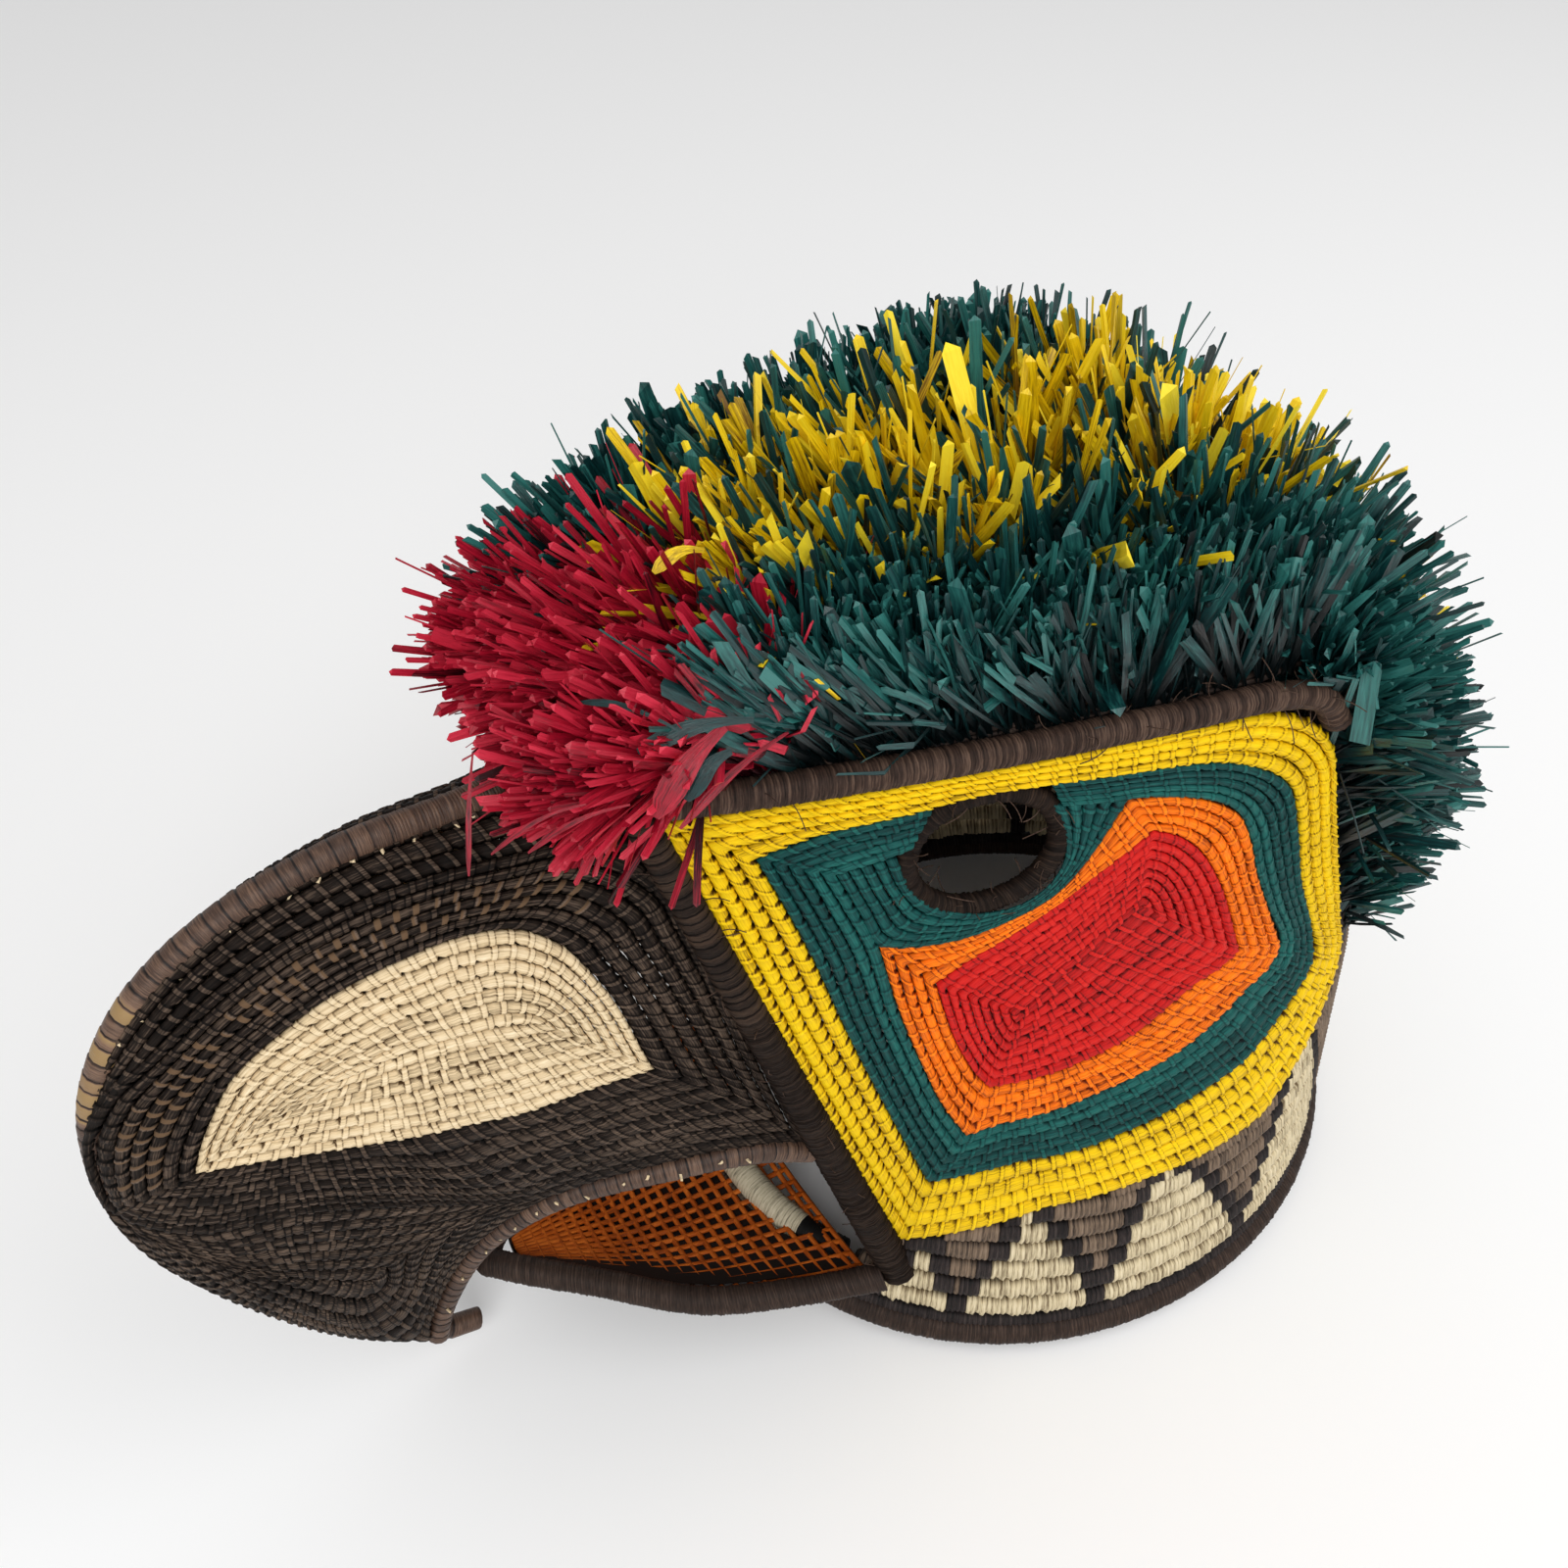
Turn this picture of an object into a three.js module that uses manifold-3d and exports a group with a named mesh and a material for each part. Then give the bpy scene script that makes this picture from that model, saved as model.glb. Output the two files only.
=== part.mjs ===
// Bird mask of coiled palm fibre: an oval head band carries two face panels, a hooked beak and a crest.
// Millimetres, +Z up. The beak points along -X and the bird's left side is -Y.
import * as THREE from 'three';
import { mergeVertices } from 'three/addons/utils/BufferGeometryUtils.js';
import Module from 'manifold-3d';

const wasm = await Module();
wasm.setup();

// Clear space kept between neighbouring pieces, and the edge length below which a cut is tidied
const gap = 0.3;
const shortEdge = 0.2;

// Head band: an oval of flat coils on a round base roll, wider at the floor than at its top
const bandHalfLength = 101.5;
const bandHalfWidth = 90.5;
const bandTaper = 0.12;
const bandWall = 6;
const coilHeight = 9;
const baseRollRadius = 3.6;
const baseRollFlat = 3;
const bandFoot = 2 * baseRollRadius + 0.3;
const bandFrontTop = bandFoot + coilHeight - 0.7;
const bandSideTop = bandFoot + 6.1 * coilHeight;
const bandBackTop = bandFoot + 8.9 * coilHeight;

// Angles round the band, in degrees from the beak
const barEnd = 28;
const jawAngle = 36;
const sideStart = 60;
const sideEnd = 100;
const bandSteps = 45;
const rearAngle = 124;
const jawHeight = 37;
const cheekFootHeight = 24;

// Face: the panels stand on the band and lean inwards to the top rolls
const faceTop = 197;
const panelThickness = 4.2;
const topFront = new THREE.Vector3(-124, -24.5, faceTop);
const topBend = new THREE.Vector3(-78, -43.5, faceTop);
const topRear = new THREE.Vector3(13, -65, faceTop);
const topCornerDrop = 11;
const topRollRadius = 3;
const cheekForward = 1.5;
const cheekRadiusTop = 3;
const cheekRadiusFoot = 5;

// Eye hole, wrapped with a roll
const eyeAlong = 0.475;
const eyeUp = 0.832;
const eyeHalfLength = 16.3;
const eyeHalfHeight = 13.8;
const eyeRollRadius = 2.2;

// Beak: the ridge runs from the forehead over the hook to the cut end under the tip
const ridgePoints = [
  [-119, 198], [-146, 192.6], [-175, 192.2], [-198, 186.5], [-216, 174.5], [-229, 155],
  [-235, 131], [-233, 105], [-224, 79], [-210, 52], [-195, 26], [-186, 13.5], [-176.5, 9.4],
];
const ridgeRadius = 3.1;
const mouthPoints = [
  [-97, -41, 84.5], [-111, -37.5, 90.5], [-128, -31, 89], [-151, -20.5, 82], [-166, -12.5, 68],
  [-175, -7, 52], [-184, -4.2, 32], [-188, -3.9, 19],
];
const mouthRadius = 3;
const beakThickness = 4;
const shoulderBulge = 19;
const cheekBulge = 13;

// Lower beak: a shallow pointed scoop with a wrapped rim
const lowerRim = [[-82, -54, 28], [-103, -46, 27.5], [-126, -36, 29.5], [-148, -19, 33], [-167, -4, 36]];
const lowerRimRadius = 3.7;
const lowerDepth = 9;
const lowerThickness = 3;
const throatRadius = 4.2;
const throatHeight = bandFrontTop + throatRadius + 0.4;

// Crown under the crest, and the brush of cut strips that stands on it
const crownRise = 11;
const crownBack = 14;
const crownThickness = 3;
const crownInset = topRollRadius + 2.5 * gap;
const crestRoot = 2.4;
const crestJag = 5;
const stripeHalfAngle = 0.24;
const redEnd = 0.22;

const fibre = { roughness: 0.8, metalness: 0 };
const colours = {
  brown: '#4e3b33', band: '#8d8069', dark: '#2e2422', face: '#f0cd00', orange: '#b4540e',
  cream: '#dcc79a', red: '#b3122f', green: '#14504f', yellow: '#f2cc0c', crown: '#4a4038',
};

const vec = (x, y, z) => new THREE.Vector3(x, y, z);
const radians = THREE.MathUtils.degToRad;
const smooth = THREE.MathUtils.smoothstep;
const mix = THREE.MathUtils.lerp;

// A repeatable number between -1 and 1 for a pair of whole numbers
function jitter(i, j) {
  const wave = Math.sin(i * 127.1 + j * 311.7 + 4.2) * 43758.5453;
  return 2 * (wave - Math.floor(wave)) - 1;
}

function turnOutward(geometry) {
  const p = geometry.attributes.position;
  const index = geometry.index.array;
  const [a, b, c] = [vec(), vec(), vec()];
  let volume = 0;
  for (let i = 0; i < index.length; i += 3) {
    a.fromBufferAttribute(p, index[i]);
    b.fromBufferAttribute(p, index[i + 1]);
    c.fromBufferAttribute(p, index[i + 2]);
    volume += a.dot(b.cross(c));
  }
  if (volume < 0) {
    for (let i = 0; i < index.length; i += 3) {
      [index[i], index[i + 1]] = [index[i + 1], index[i]];
    }
  }
  return geometry;
}

function closedMesh(points, index) {
  const geometry = new THREE.BufferGeometry();
  geometry.setAttribute('position', new THREE.Float32BufferAttribute(points.flatMap((p) => p.toArray()), 3));
  geometry.setIndex(index);
  return turnOutward(geometry);
}

// A plate between two faces, each given as a function of u and v from 0 to 1
function slab(columns, rows, outerAt, innerAt) {
  const points = [];
  const index = [];
  const stride = rows + 1;
  for (const faceAt of [outerAt, innerAt]) {
    for (let i = 0; i <= columns; i++) {
      for (let j = 0; j <= rows; j++) {
        points.push(faceAt(i / columns, j / rows, i, j));
      }
    }
  }
  const half = (columns + 1) * stride;
  const quad = (a, b, c, d) => index.push(a, b, c, a, c, d);
  for (let i = 0; i < columns; i++) {
    for (let j = 0; j < rows; j++) {
      const a = i * stride + j;
      quad(a, a + stride, a + stride + 1, a + 1);
      quad(half + a, half + a + 1, half + a + stride + 1, half + a + stride);
    }
  }
  for (let i = 0; i < columns; i++) {
    const low = i * stride;
    const high = low + rows;
    quad(low + stride, low, half + low, half + low + stride);
    quad(high, high + stride, half + high + stride, half + high);
  }
  for (let j = 0; j < rows; j++) {
    const last = columns * stride + j;
    quad(j, j + 1, half + j + 1, half + j);
    quad(last + 1, last, half + last, half + last + 1);
  }
  return closedMesh(points, index);
}

// A closed hoop: sectionAt(turn) gives the corners of its section at each angle
function hoop(steps, sectionAt) {
  const points = [];
  const index = [];
  const corners = sectionAt(0).length;
  for (let i = 0; i < steps; i++) {
    points.push(...sectionAt((2 * Math.PI * i) / steps));
  }
  for (let i = 0; i < steps; i++) {
    for (let j = 0; j < corners; j++) {
      const next = ((i + 1) % steps) * corners;
      const k = (j + 1) % corners;
      index.push(i * corners + j, next + j, next + k, i * corners + j, next + k, i * corners + k);
    }
  }
  return closedMesh(points, index);
}

// The face of a plate moved inwards by its thickness, away from the outside of the mask
function innerFace(pointAt, thickness, core) {
  const step = 0.01;
  return (u, v) => {
    const here = pointAt(u, v);
    const du = pointAt(Math.min(u + step, 1), v).sub(pointAt(Math.max(u - step, 0), v));
    const dv = pointAt(u, Math.min(v + step, 1)).sub(pointAt(u, Math.max(v - step, 0)));
    const normal = du.cross(dv).normalize();
    const outward = Math.sign(normal.dot(here.clone().sub(core)));
    return here.addScaledVector(normal, -thickness * outward);
  };
}

// A wrapped roll: a round rod of eight sides along a curve
function roll(curve, steps, radius) {
  const section = new THREE.Shape();
  section.absarc(0, 0, radius, 0, 2 * Math.PI);
  return new THREE.ExtrudeGeometry(section, {
    steps, curveSegments: 4, extrudePath: curve, bevelEnabled: false,
  });
}

// A straight roll that grows thicker from its top to its foot
function taperedRoll(top, foot, topRadius, footRadius) {
  const rod = new THREE.CylinderGeometry(topRadius, footRadius, top.distanceTo(foot), 8, 3);
  const turn = new THREE.Quaternion().setFromUnitVectors(vec(0, 1, 0), top.clone().sub(foot).normalize());
  rod.applyQuaternion(turn);
  const middle = top.clone().lerp(foot, 0.5);
  return rod.translate(middle.x, middle.y, middle.z);
}

function solid(geometry) {
  const bare = new THREE.BufferGeometry();
  bare.setAttribute('position', geometry.attributes.position);
  if (geometry.index) bare.setIndex(geometry.index);
  const merged = mergeVertices(bare, 1e-4);
  return new wasm.Manifold(new wasm.Mesh({
    numProp: 3,
    vertProperties: new Float32Array(merged.attributes.position.array),
    triVerts: new Uint32Array(merged.index.array),
  }));
}

// The geometry with each tool cut away; only the largest piece is kept
function carve(geometry, ...tools) {
  let body = solid(geometry);
  for (const tool of tools) body = body.subtract(solid(tool)).asOriginal().simplify(shortEdge);
  const pieces = body.decompose();
  pieces.sort((a, b) => b.volume() - a.volume());
  const mesh = pieces[0].simplify(shortEdge).getMesh();
  const points = [];
  for (let i = 0; i < mesh.vertProperties.length; i += mesh.numProp) {
    points.push(vec(mesh.vertProperties[i], mesh.vertProperties[i + 1], mesh.vertProperties[i + 2]));
  }
  return closedMesh(points, Array.from(mesh.triVerts));
}

function mirrored(geometry) {
  const twin = geometry.clone();
  twin.scale(1, -1, 1);
  if (!twin.index) twin.setIndex([...Array(twin.attributes.position.count).keys()]);
  return turnOutward(twin);
}

// Height of the band's top edge at an angle from the beak
function bandTop(degrees) {
  const knots = [
    [0, bandFrontTop], [jawAngle - 8, bandFrontTop], [jawAngle, jawHeight], [sideStart, bandSideTop - 4],
    [sideStart + 16, bandSideTop], [sideEnd, bandSideTop], [rearAngle, bandBackTop], [180, bandBackTop],
  ];
  for (let i = 1; i < knots.length; i++) {
    if (degrees <= knots[i][0]) {
      const share = (degrees - knots[i - 1][0]) / (knots[i][0] - knots[i - 1][0]);
      return mix(knots[i - 1][1], knots[i][1], share);
    }
  }
  return bandBackTop;
}

// A point of the band's outer face, on the left side for angles from 0 (beak) to 180 (back)
function bandPoint(degrees, z, inset = 0) {
  const turn = radians(degrees);
  const length = bandHalfLength - bandTaper * z - inset;
  const width = bandHalfWidth - bandTaper * z - inset;
  return vec(-length * Math.cos(turn), -width * Math.sin(turn), z);
}

function headBand(extra = 0) {
  return hoop(bandSteps, (turn) => {
    const degrees = THREE.MathUtils.radToDeg(turn) + 180 / bandSteps;
    const top = bandTop(degrees <= 180 ? degrees : 360 - degrees) + extra;
    const foot = bandFoot - extra;
    return [
      bandPoint(degrees, foot, -extra), bandPoint(degrees, top, -extra),
      bandPoint(degrees, top, bandWall + extra), bandPoint(degrees, foot, bandWall + extra),
    ];
  });
}

function baseRoll() {
  const corners = [];
  const flatHalf = baseRollFlat / 2;
  const flatTurn = Math.asin(flatHalf / baseRollRadius);
  for (let i = 0; i < 7; i++) {
    const turn = -Math.PI / 2 + flatTurn + (i * (2 * Math.PI - 2 * flatTurn)) / 6;
    corners.push([baseRollRadius * Math.cos(turn), baseRollRadius * Math.sin(turn)]);
  }
  const lowest = Math.min(...corners.map((c) => c[1]));
  return hoop(48, (turn) => corners.map(([out, up]) => vec(
    -(bandHalfLength - 2 + out) * Math.cos(turn),
    -(bandHalfWidth - 2 + out) * Math.sin(turn),
    up - lowest,
  )));
}

// Upper edge of the left face panel, from the forehead back and down round its rear corner
function topEdge(u) {
  const curve = new THREE.QuadraticBezierCurve3(topFront, topBend, topRear);
  const point = curve.getPoint(u);
  const corner = Math.max(0, (u - 0.9) / 0.1);
  point.z -= topCornerDrop * (1 - Math.sqrt(1 - Math.min(corner, 1) ** 2));
  return point;
}

function bottomEdge(u) {
  const degrees = mix(jawAngle, rearAngle, u);
  return bandPoint(degrees, bandTop(degrees) + 4 * gap);
}

function facePoint(u, v) {
  return bottomEdge(u).lerp(topEdge(u), v);
}

function faceNormal(u, v) {
  const du = facePoint(u + 0.02, v).sub(facePoint(u - 0.02, v));
  const dv = facePoint(u, v + 0.02).sub(facePoint(u, v - 0.02));
  const normal = du.cross(dv).normalize();
  return normal.y < 0 ? normal : normal.negate();
}

// Axes of the eye: along the panel, up the panel, and out of it
function eyeFrame() {
  const out = faceNormal(eyeAlong, eyeUp);
  const along = facePoint(eyeAlong + 0.05, eyeUp).sub(facePoint(eyeAlong - 0.05, eyeUp));
  along.addScaledVector(out, -along.dot(out)).normalize();
  const up = vec().crossVectors(out, along);
  const centre = facePoint(eyeAlong, eyeUp).addScaledVector(out, -panelThickness / 2);
  return { centre, along, up: up.z > 0 ? up : up.negate(), out };
}

function eyePoint(frame, turn, grow, lift) {
  return frame.centre.clone()
    .addScaledVector(frame.along, (eyeHalfLength + grow) * Math.cos(turn))
    .addScaledVector(frame.up, (eyeHalfHeight + grow) * Math.sin(turn))
    .addScaledVector(frame.out, lift);
}

function eyeRoll() {
  const frame = eyeFrame();
  return hoop(20, (turn) => {
    const corners = [];
    for (let i = 0; i < 6; i++) {
      const around = (2 * Math.PI * i) / 6;
      corners.push(eyePoint(frame, turn, eyeRollRadius * Math.cos(around), eyeRollRadius * Math.sin(around)));
    }
    return corners;
  });
}

function eyeCutter() {
  const frame = eyeFrame();
  const reach = 12;
  const rim = [...Array(16).keys()].map((i) => (2 * Math.PI * (i + 0.5)) / 16);
  const grow = eyeRollRadius + gap;
  const points = [
    ...rim.map((turn) => eyePoint(frame, turn, grow, reach)),
    ...rim.map((turn) => eyePoint(frame, turn, grow, -reach)),
    frame.centre.clone().addScaledVector(frame.out, reach),
    frame.centre.clone().addScaledVector(frame.out, -reach),
  ];
  const count = rim.length;
  const index = [];
  for (let i = 0; i < count; i++) {
    const k = (i + 1) % count;
    index.push(i, k, count + k, i, count + k, count + i);
    index.push(2 * count, k, i, 2 * count + 1, count + i, count + k);
  }
  return closedMesh(points, index);
}

function topRollCurve() {
  const points = [0.04, 0.2, 0.4, 0.6, 0.8, 0.9, 0.97].map((u) => topEdge(u).add(vec(0, 0, topRollRadius * 0.65)));
  return new THREE.CatmullRomCurve3(points);
}

const topRoll = (extra = 0) => roll(topRollCurve(), 14, topRollRadius + extra);

function cheekRoll(extra = 0) {
  const forward = vec(-cheekForward, 0, 0);
  const top = facePoint(0, 0.99).add(forward);
  const foot = facePoint(0, -(jawHeight - cheekFootHeight) / (faceTop - jawHeight)).add(forward);
  return taperedRoll(top, foot, cheekRadiusTop + extra, cheekRadiusFoot + extra);
}

// The panel's front edge keeps clear of the cheek roll and its top edge of the top roll
function panelPoint(u, v) {
  const clear = mix(cheekRadiusFoot, cheekRadiusTop, v) - cheekForward + 5 * gap;
  const front = clear / facePoint(0, v).distanceTo(facePoint(1, v));
  const top = 1 - (0.7 * topRollRadius) / (faceTop - jawHeight);
  return facePoint(mix(front, 1, u), v * top);
}

// It has a column for each step of the band, and its foot is level across its thickness
function facePanel() {
  const core = vec(-30, 0, 110);
  const columns = Math.round(((rearAngle - jawAngle) * bandSteps) / 360);
  const inner = innerFace(panelPoint, panelThickness, core);
  const levelFoot = (u, v) => (v > 0 ? inner(u, v) : inner(u, v).setZ(panelPoint(u, v).z));
  return carve(slab(columns, 5, panelPoint, levelFoot), eyeCutter());
}

// Beak
const ridgeCurve = new THREE.CatmullRomCurve3(ridgePoints.map(([x, z]) => vec(x, 0, z)));
const mouthCurve = new THREE.CatmullRomCurve3(mouthPoints.map((p) => vec(...p)));
const ridgeRoll = (extra = 0) => roll(ridgeCurve, 25, ridgeRadius + extra);
const mouthRoll = (extra = 0) => roll(mouthCurve, 12, mouthRadius + extra);

// How far a beak panel swells out to the left between the ridge (v = 0) and the mouth edge (v = 1)
function beakBulge(u, v) {
  const shoulder = (1 - v) * (1 - Math.exp(-v / 0.07)) * shoulderBulge;
  const pillow = Math.sin(Math.PI * v ** 0.55) * cheekBulge * (1 - smooth(u, 0.75, 1.1));
  return mix(shoulder, pillow, smooth(u, 0, 0.45));
}

function beakPoint(u, v) {
  const ridge = ridgeCurve.getPointAt(mix(0.012, 0.965, u));
  const mouth = mouthCurve.getPointAt(mix(0.01, 0.99, u ** 1.15));
  const point = ridge.lerp(mouth, v);
  point.y -= beakBulge(u, v);
  return point;
}

// Each panel stops short of the ridge roll and the mouth roll, and of its twin at the mirror plane
function beakPanel() {
  const core = vec(-150, 0, 120);
  const faceAt = (u, v) => {
    const span = beakPoint(u, 0).distanceTo(beakPoint(u, 1));
    return beakPoint(u, mix((ridgeRadius + 5 * gap) / span, 1 - (mouthRadius + 10 * gap) / span, v));
  };
  const inner = innerFace(faceAt, beakThickness, core);
  const leftOnly = (u, v) => {
    const point = inner(u, v);
    return point.setY(Math.min(point.y, -gap / 2));
  };
  return carve(slab(15, 7, faceAt, leftOnly), cheekRoll(gap), mouthRoll(gap));
}

// Lower beak
const rimLeft = lowerRim.map((p) => vec(...p));
const rimRight = lowerRim.slice().reverse().map(([x, y, z]) => vec(x, -y, z));
const rimTip = vec(lowerRim.at(-1)[0] - 3, 0, lowerRim.at(-1)[2]);
const rimCurve = new THREE.CatmullRomCurve3([...rimLeft, rimTip, ...rimRight]);
const lowerRoll = (extra = 0) => roll(rimCurve, 20, lowerRimRadius + extra);

function lowerPoint(u, v) {
  const left = rimCurve.getPointAt(mix(0.01, 0.45, u));
  const edge = (lowerRimRadius + 4 * gap) / (2 * Math.abs(left.y));
  const point = left.clone().lerp(vec(left.x, -left.y, left.z), mix(edge, 1 - edge, v));
  point.z -= lowerDepth * Math.sin(Math.PI * v) * Math.min(1, Math.abs(left.y) / 30);
  return point;
}

function lowerPlate() {
  const below = (u, v) => lowerPoint(u, v).add(vec(0, 0, -lowerThickness));
  return carve(slab(9, 8, lowerPoint, below), bandCore());
}

// The space inside the band, which cuts the lower beak's rear edge
function bandCore() {
  return hoopFilled(bandSteps, (turn) => bandPoint(THREE.MathUtils.radToDeg(turn), bandFrontTop, -6 * gap), -20, 90);
}

function hoopFilled(count, pointAt, low, high) {
  const points = [];
  for (const z of [low, high]) {
    for (let i = 0; i < count; i++) {
      const p = pointAt((2 * Math.PI * i) / count);
      points.push(vec(p.x, p.y, z));
    }
  }
  points.push(vec(0, 0, low), vec(0, 0, high));
  const index = [];
  for (let i = 0; i < count; i++) {
    const k = (i + 1) % count;
    index.push(i, k, count + k, i, count + k, count + i);
    index.push(2 * count, k, i, 2 * count + 1, count + i, count + k);
  }
  return closedMesh(points, index);
}

function throatCurve() {
  const points = [];
  for (let degrees = -barEnd; degrees <= barEnd; degrees += 6) {
    const p = bandPoint(Math.abs(degrees), throatHeight, bandWall / 2);
    points.push(vec(p.x, degrees < 0 ? p.y : -p.y, p.z));
  }
  return new THREE.CatmullRomCurve3(points);
}

const throatBar = (extra = 0) => roll(throatCurve(), 10, throatRadius + extra);

// Crown: s runs from the forehead to the nape, w from the left edge (-1) to the right edge (1)
function archPoint(left, middle, w) {
  const turn = (1 - Math.abs(w)) * (Math.PI / 2);
  const point = left.clone().lerp(middle, Math.sin(turn));
  point.y = Math.sign(w) * Math.abs(left.y) * Math.cos(turn);
  return point;
}

function crownPoint(s, w) {
  const front = Math.min(s / 0.5, 1);
  const left = topEdge(Math.min(front, 0.9)).add(vec(Math.max(0, front - 0.9) * 140, crownInset, 2));
  const rise = crownRise * Math.min(1, 0.3 + front * 2);
  const top = archPoint(left, vec(left.x, 0, faceTop + rise), w);
  if (s <= 0.5) return top;
  const back = (s - 0.5) / 0.5;
  const nape = bandPoint(mix(rearAngle + 1, 180, 1 - Math.abs(w)), bandBackTop + crownThickness);
  nape.y = Math.sign(w) * Math.abs(nape.y);
  const point = top.lerp(nape, back);
  const swell = Math.sin(Math.PI * back) * crownBack * Math.cos((Math.PI / 2) * Math.abs(w));
  return point.add(vec(swell * 0.8, 0, swell * 0.6));
}

function crown() {
  const core = vec(-30, 0, 110);
  const faceAt = (u, v) => crownPoint(mix(0.03, 1, u), 2 * v - 1);
  return slab(11, 12, faceAt, innerFace(faceAt, crownThickness, core));
}

// Crest: the tips of the strips, over the same s and w as the crown
const tipMiddle = new THREE.CatmullRomCurve3([
  [-149, 194], [-154, 213], [-134, 237], [-98, 248], [-60, 251], [-20, 249], [20, 239], [58, 217],
  [90, 184], [112, 147], [119, 110],
].map(([x, z]) => vec(x, 0, z)));
const tipSide = new THREE.CatmullRomCurve3([
  [-141, -33, 198], [-128, -42, 206], [-95, -52, 215], [-50, -62, 223], [-5, -68, 222], [28, -72, 202],
  [45, -73, 170], [54, -71, 135], [56, -69, 105],
].map((p) => vec(...p)));

function tipPoint(s, w) {
  return archPoint(tipSide.getPoint(s), tipMiddle.getPoint(s), w);
}

function crestRootPoint(s, w) {
  const root = crownPoint(s, w);
  const lift = tipPoint(s, w).sub(root).normalize();
  return root.addScaledVector(lift, crestRoot + 2 * topRollRadius * Math.abs(w) ** 4);
}

// One colour of the crest: a brush with a ragged top between two fronts and two sides
function tuft(columns, rows, spanS, spanW) {
  const place = (u, v) => [mix(spanS[0], spanS[1], u), mix(spanW[0], spanW[1], v)];
  const rootAt = (u, v) => crestRootPoint(...place(u, v));
  const tipAt = (u, v, i, j) => {
    const [s, w] = place(u, v);
    const root = crestRootPoint(s, w);
    const strip = tipPoint(s, w).sub(root);
    const edge = i === 0 || j === 0 || i === columns || j === rows ? 0.5 : 1;
    const ragged = crestJag * jitter(i, j) * edge + ((i + j) % 2 ? 2 : -2);
    return root.addScaledVector(strip, 1 + ragged / strip.length());
  };
  return slab(columns, rows, tipAt, rootAt);
}

const seam = 0.012;
const tuftSpans = {
  crest_red: [[0.02, redEnd - seam], [-0.97, 0.97], 5, 12],
  crest_yellow: [[redEnd + seam, 0.97], [-stripeHalfAngle + seam, stripeHalfAngle - seam], 18, 4],
  crest_green_left: [[redEnd + seam, 0.97], [-0.97, -stripeHalfAngle - seam], 15, 6],
  crest_green_right: [[redEnd + seam, 0.97], [stripeHalfAngle + seam, 0.97], 15, 6],
};

// The finished mask
const mask = new THREE.Group();

function add(name, colour, geometry) {
  const material = new THREE.MeshStandardMaterial({ color: colour, ...fibre });
  const mesh = new THREE.Mesh(geometry, material);
  mesh.name = name;
  mask.add(mesh);
}

function addPair(name, colour, geometry) {
  add(`${name}_left`, colour, geometry);
  add(`${name}_right`, colour, mirrored(geometry));
}

add('base_roll', colours.brown, baseRoll());
add('head_band', colours.band, headBand());
add('throat_bar', colours.cream, throatBar());
addPair('face_panel', colours.face, facePanel());
addPair('eye_roll', colours.brown, eyeRoll());
addPair('top_roll', colours.brown, carve(topRoll(), cheekRoll(gap)));
addPair('cheek_roll', colours.brown, carve(cheekRoll(), headBand(gap)));
addPair('beak_panel', colours.dark, beakPanel());
add('ridge_roll', colours.brown, ridgeRoll());
addPair('mouth_roll', colours.brown, carve(mouthRoll(), cheekRoll(gap), ridgeRoll(gap)));
add('lower_beak', colours.orange, lowerPlate());
add('lower_beak_roll', colours.brown, carve(
  lowerRoll(), headBand(gap), throatBar(gap), cheekRoll(gap), mirrored(cheekRoll(gap)),
));
add('crown', colours.crown, crown());
for (const [name, [spanS, spanW, columns, rows]] of Object.entries(tuftSpans)) {
  const colour = colours[name.split('_')[1]];
  const brush = tuft(columns, rows, spanS, spanW);
  add(name, colour, carve(brush, topRoll(gap), mirrored(topRoll(gap)), ridgeRoll(gap)));
}

// The origin is on the floor, under the middle of the whole mask
mask.updateMatrixWorld(true);
const box = new THREE.Box3().setFromObject(mask);
mask.position.set(-(box.min.x + box.max.x) / 2, 0, -box.min.z);

export default mask;
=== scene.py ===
"""Bird mask of coiled palm fibre: stitched coil rows, wrapped rolls and a crest of cut strips.

Lengths are in millimetres, measured from the floor under the middle of the head band.
The beak points along -X and the bird's left side is -Y.
"""

import math

import bmesh
import bpy
import numpy as np
from mathutils import Matrix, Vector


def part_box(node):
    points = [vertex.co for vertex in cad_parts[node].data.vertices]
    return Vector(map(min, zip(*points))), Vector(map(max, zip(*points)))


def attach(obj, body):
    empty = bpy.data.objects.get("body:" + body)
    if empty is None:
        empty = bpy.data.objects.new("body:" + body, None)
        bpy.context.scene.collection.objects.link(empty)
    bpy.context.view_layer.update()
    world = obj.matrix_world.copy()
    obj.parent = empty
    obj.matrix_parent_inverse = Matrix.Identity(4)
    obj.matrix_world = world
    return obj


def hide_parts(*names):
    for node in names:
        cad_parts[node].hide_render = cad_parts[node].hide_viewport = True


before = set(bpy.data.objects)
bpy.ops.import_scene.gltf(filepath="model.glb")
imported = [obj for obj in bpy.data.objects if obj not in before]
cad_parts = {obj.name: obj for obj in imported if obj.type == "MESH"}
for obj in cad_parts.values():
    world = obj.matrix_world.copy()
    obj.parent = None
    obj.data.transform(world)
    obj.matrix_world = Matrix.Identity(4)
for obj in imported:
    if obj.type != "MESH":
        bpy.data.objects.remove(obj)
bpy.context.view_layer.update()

dice = np.random.default_rng(11)
full_turn = 2 * math.pi
band_low, band_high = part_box("base_roll")
band_middle = np.array([(band_low.x + band_high.x) / 2, (band_low.y + band_high.y) / 2, 0.0])


def metres(points):
    return np.asarray(points, float) * 0.001 + band_middle


# Shapes of the mask

band_half_length = 101.5
band_half_width = 90.5
band_taper = 0.12
band_top_angles = [0, 28, 36, 60, 76, 100, 124, 180]
band_top_heights = [15.8, 15.8, 37, 58.4, 62.4, 62.4, 87.6, 87.6]

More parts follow.
